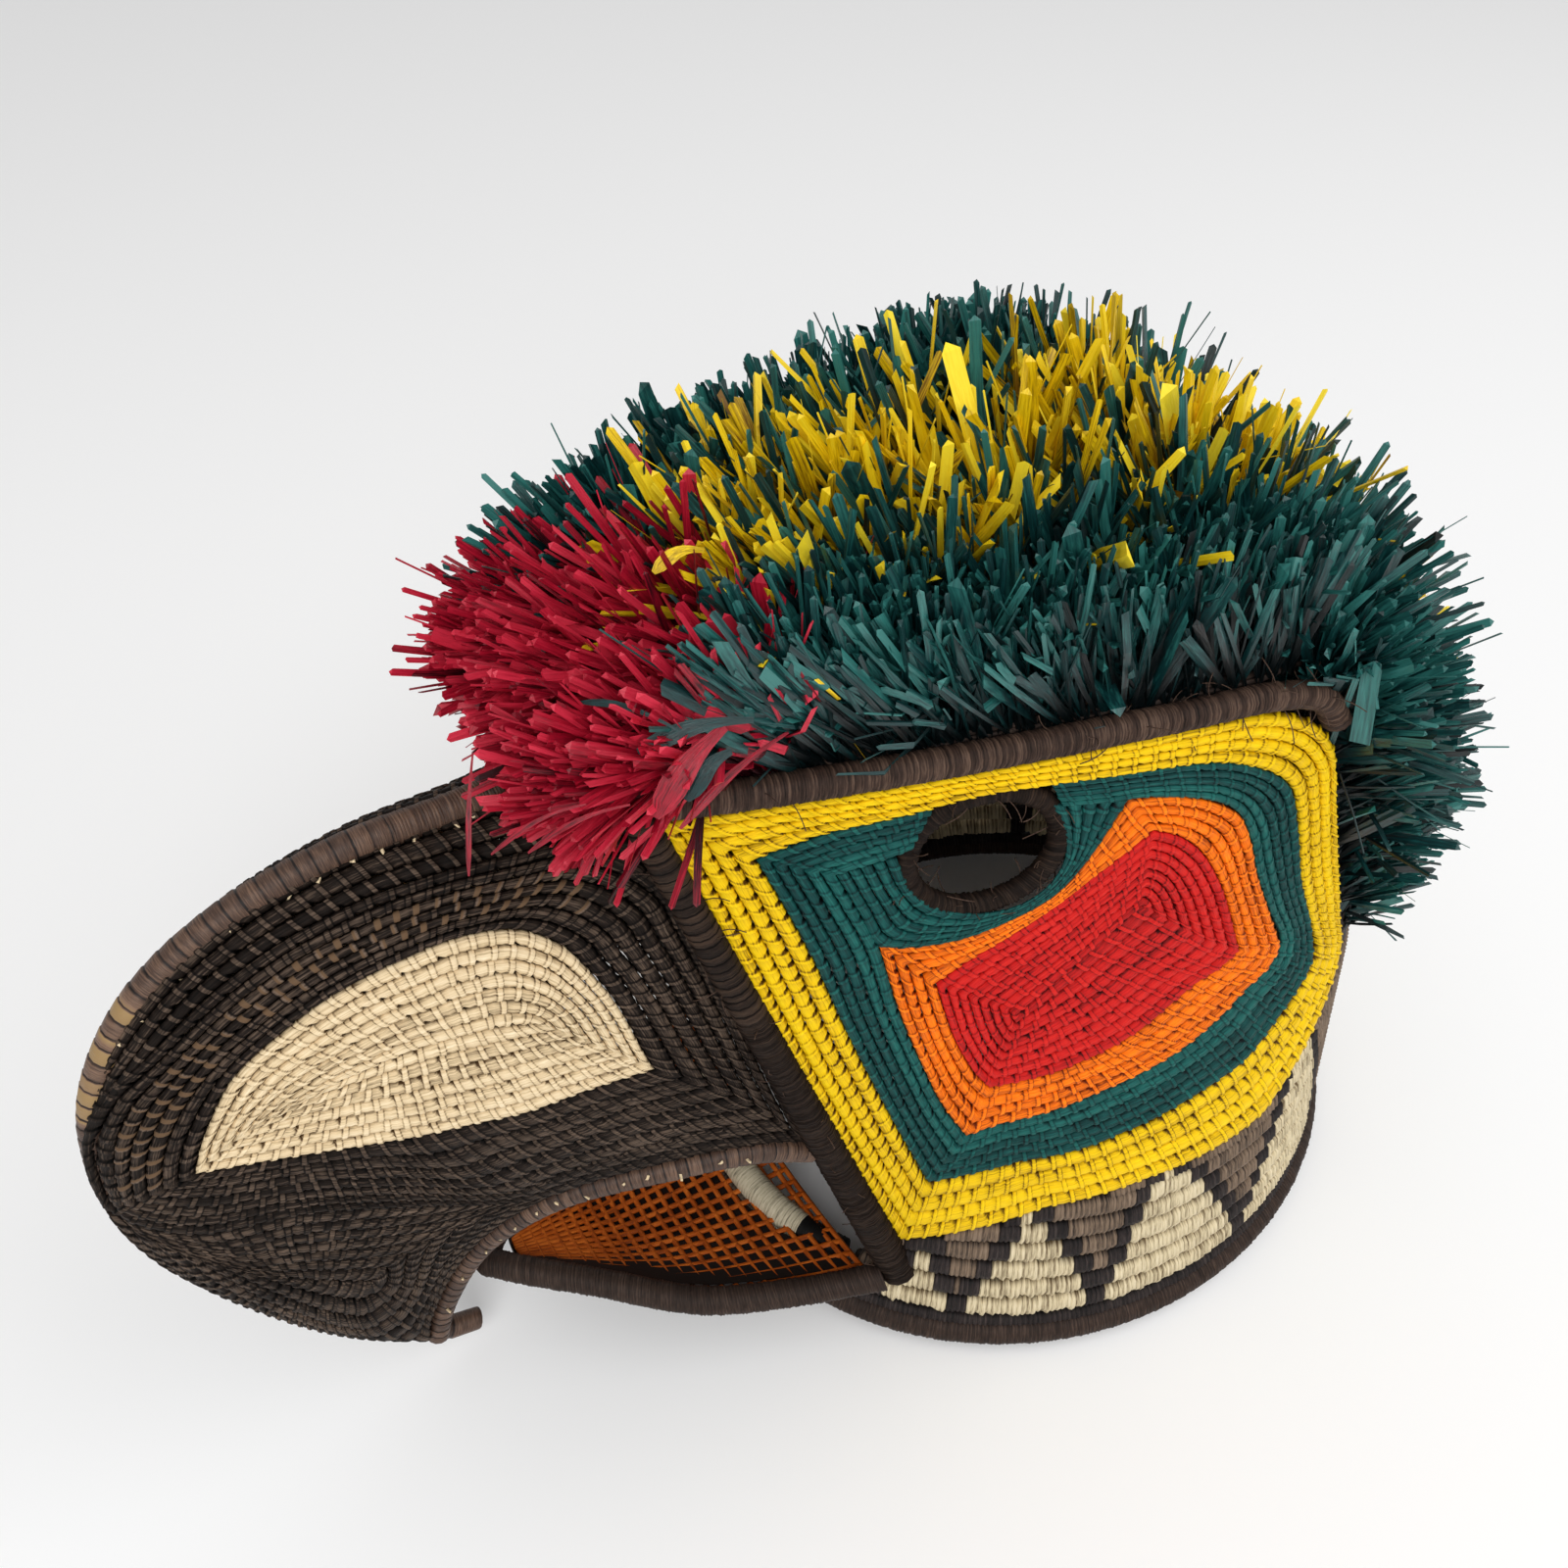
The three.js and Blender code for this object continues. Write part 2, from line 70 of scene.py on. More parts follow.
face_top = 197.0
face_foot_gap = 1.2
face_run_on = np.array([110.0, -45.0, 0.0])
brow = np.array([-124.0, -24.5, face_top])
temple = np.array([-78.0, -43.5, face_top])
rear_top = np.array([13.0, -65.0, face_top])
corner_start = 0.9
corner_share = 0.1
corner_drop = 11
jaw_angle = 36.0
rear_angle = 124.0

beak_run_on = np.array([-250.0, 110.0, 0.0])
shoulder_width = 19
pillow_width = 13
lip_width = 2.6

crown_rise = 11
nape_height = 90.6
nape_swell = 14
jaw_depth = 9

ridge_points = [
    (-119, 198), (-146, 192.6), (-175, 192.2), (-198, 186.5), (-216, 174.5), (-229, 155),
    (-235, 131), (-233, 105), (-224, 79), (-210, 52), (-195, 26), (-186, 13.5), (-176.5, 9.4),
]
mouth_points = [
    (-97, -41, 84.5), (-111, -37.5, 90.5), (-128, -31, 89), (-151, -20.5, 82), (-166, -12.5, 68),
    (-175, -7, 52), (-184, -4.2, 32), (-188, -3.9, 19),
]
jaw_rim_left = [(-82, -54, 28), (-103, -46, 27.5), (-126, -36, 29.5), (-148, -19, 33), (-167, -4, 36)]
jaw_rim_points = jaw_rim_left + [(-170, 0, 36)] + [(x, -y, z) for x, y, z in reversed(jaw_rim_left)]
crest_middle_points = [
    (-149, 194), (-154, 213), (-134, 237), (-98, 248), (-60, 251), (-20, 249), (20, 239), (58, 217),
    (90, 184), (112, 147), (119, 110),
]
crest_side_points = [
    (-141, -33, 198), (-128, -42, 206), (-95, -52, 215), (-50, -62, 223), (-5, -68, 222), (28, -72, 202),
    (45, -73, 170), (54, -71, 135), (56, -69, 105),
]


def smooth_line(points, per_span=16):
    """A smooth line through the points, sampled closely."""
    knots = np.asarray(points, float)
    padded = np.vstack([2 * knots[0] - knots[1], knots, 2 * knots[-1] - knots[-2]])
    pieces = []
    for i in range(len(knots) - 1):
        p0, p1, p2, p3 = padded[i:i + 4]
        d0, d1, d2 = [max(np.linalg.norm(b - a) ** 0.5, 1e-4) for a, b in ((p0, p1), (p1, p2), (p2, p3))]
        start = ((p1 - p0) / d0 - (p2 - p0) / (d0 + d1) + (p2 - p1) / d1) * d1
        end = ((p2 - p1) / d1 - (p3 - p1) / (d1 + d2) + (p3 - p2) / d2) * d1
        w = np.linspace(0, 1, per_span, endpoint=False)[:, None]
        pieces.append(p1 + start * w + (3 * p2 - 3 * p1 - 2 * start - end) * w ** 2
                      + (2 * p1 - 2 * p2 + start + end) * w ** 3)
    return np.vstack(pieces + [knots[-1:]])


def travel_along(line):
    """The distance travelled along a sampled line at each of its points."""
    steps = np.linalg.norm(np.diff(line, axis=0), axis=1)
    return np.concatenate([[0.0], np.cumsum(steps)])


def pick(line, travel, distance):
    """Values of a sampled line at distances along it."""
    return np.stack([np.interp(distance, travel, line[:, k]) for k in range(line.shape[1])], axis=-1)


def share_of(line):
    """A function that gives the point at each share, from 0 to 1, of the line's length."""
    travel = travel_along(line)
    return lambda share: pick(line, travel, np.asarray(share) * travel[-1])


def share_by_knots(line, s):
    """The point at a share of the line's samples."""
    return pick(line, np.arange(len(line)), np.asarray(s) * (len(line) - 1))


def fade(x, low, high):
    """A soft step from 0 at low to 1 at high."""
    t = np.clip((x - low) / (high - low), 0, 1)
    return t * t * (3 - 2 * t)


def unit(vectors):
    return vectors / np.maximum(np.linalg.norm(vectors, axis=-1, keepdims=True), 1e-9)


def across_line(line, ref):
    """Two directions across a line: one square to ref, and one square to that."""
    tangent = unit(np.gradient(line, axis=0))
    side = unit(np.cross(tangent, np.array(ref)))
    return side, np.cross(side, tangent)


fine = 40
ridge_line = smooth_line([(x, 0, z) for x, z in ridge_points], fine)
mouth_line = smooth_line(mouth_points, fine)
jaw_rim_line = smooth_line(jaw_rim_points, fine)
crest_middle = smooth_line([(x, 0, z) for x, z in crest_middle_points], fine)
crest_side = smooth_line(crest_side_points, fine)
ridge_at = share_of(ridge_line)
mouth_at = share_of(mouth_line)
jaw_rim_at = share_of(jaw_rim_line)


def band_top(degrees):
    return np.interp(degrees, band_top_angles, band_top_heights)


def band_surface(degrees, z):
    """The outside of the band, by the angle from the beak and the height."""
    turn = np.radians(degrees)
    length = band_half_length - band_taper * z
    width = band_half_width - band_taper * z
    return np.stack([-length * np.cos(turn), -width * np.sin(turn), z + 0 * turn], axis=-1)


def top_edge(u):
    """The top edge of the left face panel, from the beak to its rounded rear corner."""
    u = np.asarray(u, float)[..., None]
    point = (1 - u) ** 2 * brow + 2 * u * (1 - u) * temple + u ** 2 * rear_top
    corner = np.clip((u[..., 0] - corner_start) / corner_share, 0, 1)
    point[..., 2] -= corner_drop * (1 - np.sqrt(1 - corner ** 2))
    return point


def face_surface(u, v):
    """The left face panel: u runs from the beak to the rear, v from the band to the top."""
    degrees = jaw_angle + (rear_angle - jaw_angle) * np.clip(u, 0, 1)
    foot = band_surface(degrees, band_top(degrees) + face_foot_gap)
    top = top_edge(np.clip(u, 0, 1))
    spill = np.where(u < 0, u, np.where(u > 1, u - 1, 0))[..., None]
    v = np.asarray(v)[..., None]
    return foot * (1 - v) + top * v + spill * face_run_on


def beak_surface(u, v):
    """The left beak panel: u runs from the forehead to the hook's tip, v from the ridge to the mouth."""
    v = np.asarray(v, float)
    up = np.maximum(v, 0)
    point = ridge_at(0.012 + 0.953 * u) * (1 - v[..., None])
    point = point + mouth_at(0.01 + 0.98 * np.maximum(u, 0) ** 1.15) * v[..., None]
    point = point + np.minimum(u, 0)[..., None] * beak_run_on
    shoulder = (1 - up) * (1 - np.exp(-up / 0.07)) * shoulder_width
    pillow = np.sin(math.pi * up ** 0.55) * pillow_width * (1 - fade(u, 0.75, 1.1))
    blend = fade(u, 0, 0.45)
    point[..., 1] -= shoulder * (1 - blend) + pillow * blend + lip_width * np.exp(-up / 0.03) * blend
    return point


def arch(side, middle, w):
    """A point of the arch from a left edge (w = -1) over the middle (w = 0) to the right edge (w = 1)."""
    turn = ((1 - np.abs(w)) * math.pi / 2)[..., None]
    point = side + (middle - side) * np.sin(turn)
    point[..., 1] = np.sign(w) * np.abs(side[..., 1]) * np.cos(turn[..., 0])
    return point


def crown_surface(s, w):
    """The cap under the crest: s runs from the forehead to the nape, w from left to right."""
    front = np.minimum(s / 0.5, 1)
    left = top_edge(np.minimum(front, corner_start))
    left = left + np.stack([np.maximum(0, front - corner_start) * 140, 3.75 + 0 * s, 2 + 0 * s], axis=-1)
    middle = left.copy()
    middle[..., 1] = 0
    middle[..., 2] = face_top + crown_rise * np.minimum(1, 0.3 + front * 2)
    top = arch(left, middle, w)
    back = np.clip((s - 0.5) / 0.5, 0, 1)[..., None]
    degrees = rear_angle + 1 + (179 - rear_angle) * (1 - np.abs(w))
    nape = band_surface(degrees, nape_height + 0 * degrees)
    nape[..., 1] = np.sign(w) * np.abs(nape[..., 1])
    swell = np.sin(math.pi * back) * nape_swell * np.cos(math.pi / 2 * np.abs(w))[..., None]
    return top * (1 - back) + nape * back + swell * np.array([0.8, 0, 0.6])


def crest_tip(s, w):
    return arch(share_by_knots(crest_side, s), share_by_knots(crest_middle, s), w)


def jaw_surface(u, v):
    """The scoop of the lower beak: u runs from the band to the tip, v from left to right."""
    left = jaw_rim_at(0.01 + 0.44 * u)
    right = left * np.array([1, -1, 1])
    point = left + (right - left) * v[..., None]
    point[..., 2] -= jaw_depth * np.sin(math.pi * v) * np.minimum(1, np.abs(left[..., 1]) / 30)
    return point


# Skins of fibre


def new_piece():
    """A mesh with the fibre's direction and lightness, which holds painted light and shade, the nearness of
    a stitch, which places a painted shadow beside it, and seams to close.
    """
    mesh = bmesh.new()
    layers = mesh.verts.layers
    layers.float_vector.new("fibre")
    layers.float.new("stitch")
    return {
        "mesh": mesh, "fibre": layers.float_vector["fibre"], "stitch": layers.float["stitch"], "seams": {},
    }


def shape_verts(verts, layer, points, fibre):
    places = metres(points).reshape(-1, 3).tolist()
    for vert, place, trait in zip(verts, places, fibre.reshape(-1, 3).tolist()):
        vert.co = place
        vert[layer] = trait


def lay_skin(piece, points, fibre, finish, closed=False, smooth=True, stitch=None):
    """Shapes a grid into a tube. points is [station, place round the tube]; its last place is its first."""
    mesh = piece["mesh"]
    if closed:
        points = np.concatenate([points, points[:1]])
        fibre = np.concatenate([fibre, fibre[:1]])
        stitch = None if stitch is None else np.append(stitch, stitch[0])
    stations, around = points.shape[:2]
    first_face = len(mesh.faces)
    verts = bmesh.ops.create_grid(mesh, x_segments=around - 1, y_segments=stations - 1, size=1)["verts"]
    shape_verts(verts, piece["fibre"], points, fibre)
    if stitch is not None:
        near = piece["stitch"]
        for vert, value in zip(verts, np.repeat(stitch, around).tolist()):
            vert[near] = value
    seams = piece["seams"]
    for i in range(stations):
        row = 0 if closed and i == stations - 1 else i
        seams[verts[i * around + around - 1]] = verts[row * around]
    if closed:
        for j in range(around - 1):
            seams[verts[(stations - 1) * around + j]] = verts[j]
    mesh.faces.ensure_lookup_table()
    for face in mesh.faces[first_face:]:
        face.material_index = finish
        face.smooth = smooth


def close_piece(piece):
    """Joins the seams, closes the ends, and turns every face outwards."""
    mesh = piece["mesh"]
    bmesh.ops.weld_verts(mesh, targetmap=piece["seams"])
    ends = [edge for edge in mesh.edges if edge.is_boundary]
    if ends:
        for face in bmesh.ops.holes_fill(mesh, edges=ends, sides=0)["faces"]:
            beside = [f for f in face.edges[0].link_faces if f is not face]
            face.material_index = beside[0].material_index
    bmesh.ops.recalc_face_normals(mesh, faces=mesh.faces)
    return mesh


def add_mirror(mesh):
    """The same piece on the bird's right side."""
    twin = mesh.copy()
    middle = band_middle[1]
    flip = Matrix.Scale(-1, 4, (0, 1, 0))
    turn = Matrix.Translation((0, middle, 0)) @ flip @ Matrix.Translation((0, -middle, 0))
    bmesh.ops.transform(twin, matrix=turn, verts=twin.verts)
    bmesh.ops.reverse_faces(twin, faces=twin.faces)
    return twin


def mesh_data(name, mesh):
    data = bpy.data.meshes.new(name)
    mesh.to_mesh(data)
    mesh.free()
    return data


def put(name, data):
    thing = bpy.data.objects.new(name, data)
    bpy.context.scene.collection.objects.link(thing)
    return thing


def show(name, mesh, finishes, record_slot, *nodes):
    """Makes a mesh a piece of the mask, in place of the nodes that it stands for."""
    piece = put(name, mesh_data(name, mesh))
    for finish in finishes:
        piece.data.materials.append(finish)
    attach(piece, "root")
    if nodes:
        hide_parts(*nodes)


def show_pair(name, ending, mesh, finishes, record_slot):
    """A left piece and its mirror image, each in place of its own node."""
    show(name + "_left_" + ending, mesh.copy(), finishes, record_slot, name + "_left")
    show(name + "_right_" + ending, add_mirror(mesh), finishes, record_slot, name + "_right")
    mesh.free()


def even_section(under, left):
    """A closed outline from the underside up the left side and down its mirror image."""
    right = [(-across, up, tone) for across, up, tone in reversed(left)]
    return [under] + left + right + [under]


# Sections of a coil, across and up, with its lightness: between stitches, at a stitch, at the neck
# beside a stitch, and at a neck with a hole. The lightness is painted light and shade: the underside and
# sides of a coil are painted darker as the shade in the grooves between rows, the raised top of a stitch
# is painted lighter, the neck is painted darker, and one side of a hole is painted near black as the
# shadow in the gap
plump, stitched, neck, hole = range(4)
coil_sections = np.array([
    even_section((0.0, -0.9, -1.5), [(-1.0, -0.05, -1.0), (-0.86, 0.70, -0.1), (-0.34, 1.0, 0.08)]),
    even_section((0.0, -0.9, -1.0), [(-1.08, 0.12, -0.2), (-0.86, 0.86, 0.15), (-0.30, 1.2, 0.28)]),
    even_section((0.0, -0.9, -1.8), [(-0.97, -0.12, -1.6), (-0.83, 0.62, -0.4), (-0.31, 0.94, -0.05)]),
    [(0.0, -0.9, -1.8), (-0.97, -0.12, -1.6), (-0.83, 0.62, -0.4), (-0.29, 0.93, -0.05),
     (0.22, 0.88, -0.1), (0.55, 0.42, -1.6), (0.62, -0.40, -3.0), (0.0, -0.9, -1.8)],
])
# Nearness of a stitch at each section: between a stitch and its neck it passes the band where the finish
# paints a thin shadow
stitch_nearness = np.array([1.0, 0.3, 0.9, 0.9])
shortest_side = 1.0
row_fill = 0.98
row_lean = 0.35


def stitch_stations(length, pitch, band):
    """Distances along a side and the section there, as numbered in coil_sections."""
    count = max(1, int(round(length / pitch)))
    step = length / count
    middles = (np.arange(count) + 0.5) * step + dice.uniform(-0.08, 0.08, count) * step
    band = min(band, step * 0.14)
    rest = min(band + 0.5, step * 0.3)
    distance = [0.0]
    kind = [plump]
    for k, middle in enumerate(middles):
        distance += [middle - rest, middle - band, middle + band, middle + rest]
        kind += [neck, stitched, stitched, hole]
        if k < count - 1 and step > 2:
            distance.append((middle + middles[k + 1]) / 2)
            kind.append(plump)
    return np.array(distance), np.array(kind)


def lay_coil(piece, surface, core, sides, finish, look):
    """One stitched coil between two edges. sides holds (outer edge, inner edge) in panel coordinates."""
    parts = []
    start = 0.0
    for number, (outer, inner) in enumerate(sides):
        a = surface(outer[:, 0], outer[:, 1])
        b = surface(inner[:, 0], inner[:, 1])
        centre = (a + b) / 2
        half = (b - a) / 2
        travel = travel_along(centre)
        if travel[-1] < shortest_side:
            continue
        tangent = unit(np.gradient(centre, axis=0) + 1e-9)
        up = unit(np.cross(tangent, half))
        up = up * np.sign(np.sum(up * (centre - core), axis=1, keepdims=True))
        distance, kind = stitch_stations(travel[-1], look["pitch"], look["band"])
        parts.append((pick(centre, travel, distance), pick(half, travel, distance),
                      unit(pick(up, travel, distance)), kind, distance + start, np.full(len(kind), number)))
        start += travel[-1]
    if not parts:
        return
    if not look.get("closed"):
        parts.append((centre[-1:], half[-1:], up[-1:], np.array([plump]), np.array([start]), np.array([0])))
    centre, half, up, kind, distance, number = [np.concatenate(values) for values in zip(*parts)]
    kind = np.where((kind == hole) & (dice.random(len(kind)) > look.get("holes", 0.6)), neck, kind)
    at_stitch = kind == stitched
    count = len(kind)
    tangent = unit(np.gradient(centre, axis=0))
    pitch = 2 * np.linalg.norm(half, axis=1)
    thick = np.clip(0.5 * pitch, 0.35, look.get("thick", 1.6)) * dice.uniform(0.94, 1.06, count)
    segment = np.cumsum(at_stitch & (np.roll(kind, 1) == plump))
    tones = dice.uniform(-0.45, 0.45, segment.max() + 2)
    marks = dice.uniform(-0.4, 0.35, segment.max() + 2)
    lean = np.repeat(dice.uniform(-1, 1), count) * row_lean + 0.25
    section = coil_sections[kind]
    across = section[..., 0] * row_fill * dice.uniform(0.98, 1.02, (count, 1))
    across[:, 1] *= np.where(at_stitch, look.get("spike", 1.0) * dice.uniform(0.85, 1.1, count), 1.0)
    height = section[..., 1] * thick[:, None]
    base = centre - up * (thick - look.get("raised", 0.5))[:, None]
    base = base + half * dice.uniform(-0.03, 0.03, (count, 1))
    points = (base[:, None] + half[:, None] * across[..., None] + up[:, None] * height[..., None]
              + tangent[:, None] * (section[..., 0] * lean[:, None] * 0.5)[..., None])
    at_stitch = at_stitch[:, None]
    # The section's painted light and shade, with a random tone for each stretch between stitches and each
    # stitch
    tone = section[..., 2] + np.where(at_stitch, marks[segment][:, None], tones[segment][:, None])
    strands = dice.uniform(-0.45, 0.45, (segment.max() + 2, section.shape[1]))
    tone = tone + np.where(at_stitch, 0, strands[segment])
    if "mark" in look:
        marked = at_stitch & (number == 0)[:, None] & (section[..., 1] > 0)
        tone = tone + np.where(marked, look["mark"](centre)[:, None], 0)
    offset = dice.uniform(0, 400)
    along = distance[:, None] + offset + 0 * across
    fibre = np.stack([along, across * pitch[:, None] / 2 + offset, tone], axis=-1)
    lay_skin(piece, points, fibre, finish, closed=bool(look.get("closed")), stitch=stitch_nearness[kind])


def lay_rows(piece, surface, core, outer_sides, inner_sides, count, finish, look):
    """Coil rows between an outer outline and an inner one, each a list of sides of matched points."""
    outers = [smooth_line(side) for side in outer_sides]
    inners = [smooth_line(side) for side in inner_sides]
    for k in range(count):
        sides = []
        for outer, inner in zip(outers, inners):
            near = outer + (inner - outer) * k / count
            far = outer + (inner - outer) * (k + 1) / count
            sides.append((near, far))
        row_look = dict(look)
        if k > 0:
            row_look.pop("spike", None)
        if "rows_marked" in look and k not in look["rows_marked"]:
            row_look.pop("mark", None)
        lay_coil(piece, surface, core, sides, finish, row_look)


broad_turn = 1.2
roll_sides = 12
roll_reach = 1.5


def lay_roll(piece, line, radius, ref, wrap=0.6, closed=False, look=None):
    """A roll wrapped with strip: fine fuzzy turns, or broad ones that each lie on the edge of the last."""
    look = look or {}
    travel = travel_along(line)
    length = travel[-1]
    if "turns" in look:
        edges = look["turns"]
    else:
        edges = np.linspace(0, 1, max(4, int(round(length / wrap))) + 1)
    width = np.diff(edges)
    broad = (width * length > broad_turn)[:, None]
    # Each turn's first station sits lower and is painted dark: painted shade in the crease where it meets the
    # last turn, strongest for broad turns
    if broad.any():
        spots = np.array([0.0, 0.1, 0.9])
        rise = np.where(broad, [0.94, 1.02, 0.985], [0.965, 1.0, 0.99])
        tone = np.where(broad, [-2.2, 0.15, 0.0], [-0.5, 0.1, 0.0])
    else:
        spots = np.array([0.0, 0.5])
        rise = np.tile([0.965, 1.0], (len(width), 1))
        tone = np.tile([-0.5, 0.1], (len(width), 1))
    share = (edges[:-1, None] + width[:, None] * spots).ravel()
    uneven = look.get("uneven", 0.02)
    size = (rise * (1 + dice.uniform(-1, 1, rise.shape) * uneven * np.where(broad, 0.5, 1.0))).ravel()
    tone = (tone + dice.uniform(-1, 1, (len(width), 1)) * look.get("vary", 0.3)).ravel()
    if not closed:
        share = np.append(share, 1.0)
        size = np.append(size, 0.97)
        tone = np.append(tone, 0.0)
    place = share * length
    centre = pick(line, travel, place)
    if closed:
        ahead = pick(line, travel, (place + roll_reach) % length)
        behind = pick(line, travel, (place - roll_reach) % length)
    else:
        ahead = pick(line, travel, np.clip(place + roll_reach, 0, length))
        behind = pick(line, travel, np.clip(place - roll_reach, 0, length))
    tangent = unit(ahead - behind)
    side = unit(np.cross(tangent, np.asarray(ref, float)))
    up = np.cross(side, tangent)
    if callable(radius):
        size = size * radius(share)
    else:
        ends = np.atleast_1d(radius)
        size = size * (ends[0] + (ends[-1] - ends[0]) * share)
    if "paint" in look:
        tone = look["paint"](share, tone)
    turn = np.linspace(0, full_turn, roll_sides + 1) - math.pi / 2
    lumps = 1 + dice.uniform(-1, 1, (len(share), roll_sides)) * uneven * 0.6
    lumps = np.concatenate([lumps, lumps[:, :1]], axis=1)
    around = side[:, None] * np.cos(turn)[None, :, None] + up[:, None] * np.sin(turn)[None, :, None]
    slant = np.sin(turn + 0.6) * look.get("slant", 0.3)
    points = centre[:, None] + around * (size[:, None] * lumps)[..., None]
    points = points + tangent[:, None] * slant[None, :, None]
    if "floor" in look:
        points[..., 2] = np.maximum(points[..., 2], look["floor"])
    flat = 0 * turn[None]
    fibre = np.stack([
        place[:, None] + flat,
        np.abs(turn + math.pi / 2 - math.pi)[None] * size[:, None],
        tone[:, None] + flat,
    ], axis=-1)
    lay_skin(piece, points, fibre, 0, closed=closed)


# Finishes

# How fast the streaks change along and across a strip
along_coil = (0.14, 2.4)
round_roll = (3.2, 0.22)

black = (0, 0, 0, 1)
white = (1, 1, 1, 1)
# How much the painted shadow beside each stitch darkens the fibre
stitch_shadow = -0.32


def shade(colour):
    """A screen colour, 0 to 255, as the shader's colour."""
    return (*[((c / 255 + 0.055) / 1.055) ** 2.4 if c > 10 else c / 255 / 12.92 for c in colour], 1)


def fibre_finish(name, dark, base, light, mark=None, rough=0.62, gloss=0.16, grain=along_coil):
    """Palm fibre: streaks along the strip, a lightness that holds random tone and painted light and shade,
    and a fine bump. The dark colour also paints the shade, and the light colour the light.
    """
    finish = bpy.data.materials.new(name)
    finish.use_nodes = True
    nodes, links = finish.node_tree.nodes, finish.node_tree.links
    nodes.clear()

    def add(kind, values, **settings):
        node = nodes.new("ShaderNode" + kind)
        for setting, value in settings.items():
            setattr(node, setting, value)
        for socket, value in values.items():
            if isinstance(value, bpy.types.NodeSocket):
                links.new(value, node.inputs[socket])
            else:
                node.inputs[socket].default_value = value
        return node

    def scaled(value, factor, plus, clamp=False):
        values = {0: value, 1: factor, 2: plus}
        return add("Math", values, operation="MULTIPLY_ADD", use_clamp=clamp).outputs["Value"]

    def ramp(value, *stops):
        node = add("ValToRGB", {"Fac": value})
        elements = node.color_ramp.elements
        for k, (place, colour) in enumerate(stops):
            if k > 1:
                elements.new(place)
            elements[k].position = place
            elements[k].color = colour
        return node.outputs["Color"]

    fibre = add("Attribute", {}, attribute_name="fibre").outputs["Vector"]
    nearness = add("Attribute", {}, attribute_name="stitch").outputs["Fac"]
    place = add("TexCoord", {}).outputs["Object"]
    lightness = add("SeparateXYZ", {"Vector": fibre}).outputs["Z"]
    run = add("VectorMath", {0: fibre, 1: (*grain, 0.0)}, operation="MULTIPLY").outputs["Vector"]
    streaks = add("TexNoise", {"Vector": run, "Scale": 1.0, "Detail": 4.0, "Roughness": 0.62}).outputs["Fac"]
    cloud = add("TexNoise", {"Vector": place, "Scale": 55.0, "Detail": 3.0}).outputs["Fac"]
    # The painted light and shade of the weaving, the streaks and the clouds add up to one lightness, and a
    # thin shadow is painted beside each stitch
    grained = scaled(streaks, 1.5, scaled(lightness, 0.30, -0.22))
    clouded = scaled(cloud, 0.35, -0.17)
    level = add("Math", {0: grained, 1: clouded}, operation="ADD", use_clamp=True).outputs["Value"]
    shadow = ramp(nearness, (0.33, black), (0.43, white), (0.66, white), (0.86, black))
    shaded = scaled(shadow, stitch_shadow, level, clamp=True)
    colour = ramp(shaded, (0.0, shade(dark)), (0.5, shade(base)), (1.0, shade(light)))
    if mark:
        share = add("MapRange", {"Value": lightness, "From Min": 1.3, "From Max": 2.2}).outputs["Result"]
        blend = add("Mix", {"Factor": share, "A": colour, "B": shade(mark)}, data_type="RGBA")
        colour = blend.outputs["Result"]
    matt = add("MapRange", {"Value": streaks, "To Min": rough + 0.1, "To Max": rough - 0.12})
    relief = add("Bump", {"Height": streaks, "Strength": 0.4, "Distance": 0.0005}).outputs["Normal"]
    shader = add("BsdfPrincipled", {
        "Base Color": colour, "Roughness": matt.outputs["Result"], "Normal": relief,
        "Specular IOR Level": gloss,
    })
    add("OutputMaterial", {"Surface": shader.outputs["BSDF"]})
    return finish


yellow_fibre = fibre_finish("yellow_fibre", (80, 50, 2), (232, 188, 0), (250, 214, 14))
teal_fibre = fibre_finish("teal_fibre", (2, 18, 20), (10, 68, 66), (32, 106, 98))
orange_fibre = fibre_finish("orange_fibre", (104, 32, 0), (244, 114, 2), (254, 142, 22))
red_fibre = fibre_finish("red_fibre", (56, 2, 5), (192, 21, 20), (218, 42, 33))
cream_fibre = fibre_finish("cream_fibre", (76, 54, 30), (216, 192, 152), (246, 228, 194))
dark_fibre = fibre_finish("dark_fibre", (0, 0, 0), (31, 24, 20), (112, 94, 80), mark=(100, 78, 58),
                          gloss=0.08)
ridge_fibre = fibre_finish("ridge_fibre", (20, 13, 10), (72, 53, 43), (126, 98, 79), mark=(150, 122, 80),
                           rough=0.5, gloss=0.3, grain=round_roll)
roll_fibre = fibre_finish("roll_fibre", (16, 11, 9), (60, 45, 38), (108, 86, 72), mark=(140, 112, 76),
                          gloss=0.12, grain=round_roll)
cheek_fibre = fibre_finish("cheek_fibre", (8, 5, 4), (31, 23, 19), (66, 51, 41), mark=(120, 98, 80),
                           gloss=0.08, grain=round_roll)
base_fibre = fibre_finish("base_roll_fibre", (14, 10, 9), (50, 38, 32), (86, 68, 58), grain=round_roll)
throat_fibre = fibre_finish("throat_fibre", (14, 12, 11), (196, 184, 156), (224, 214, 190), grain=round_roll)
band_grey = fibre_finish("band_grey_fibre", (40, 32, 28), (118, 99, 82), (150, 130, 110), grain=round_roll)
band_cream = fibre_finish("band_cream_fibre", (96, 78, 54), (212, 196, 160), (232, 218, 188),
                          grain=round_roll)
band_black = fibre_finish("band_black_fibre", (8, 7, 7), (42, 35, 34), (74, 64, 60), grain=round_roll)
grid_orange = fibre_finish("grid_orange_fibre", (56, 18, 2), (162, 72, 10), (208, 110, 34))
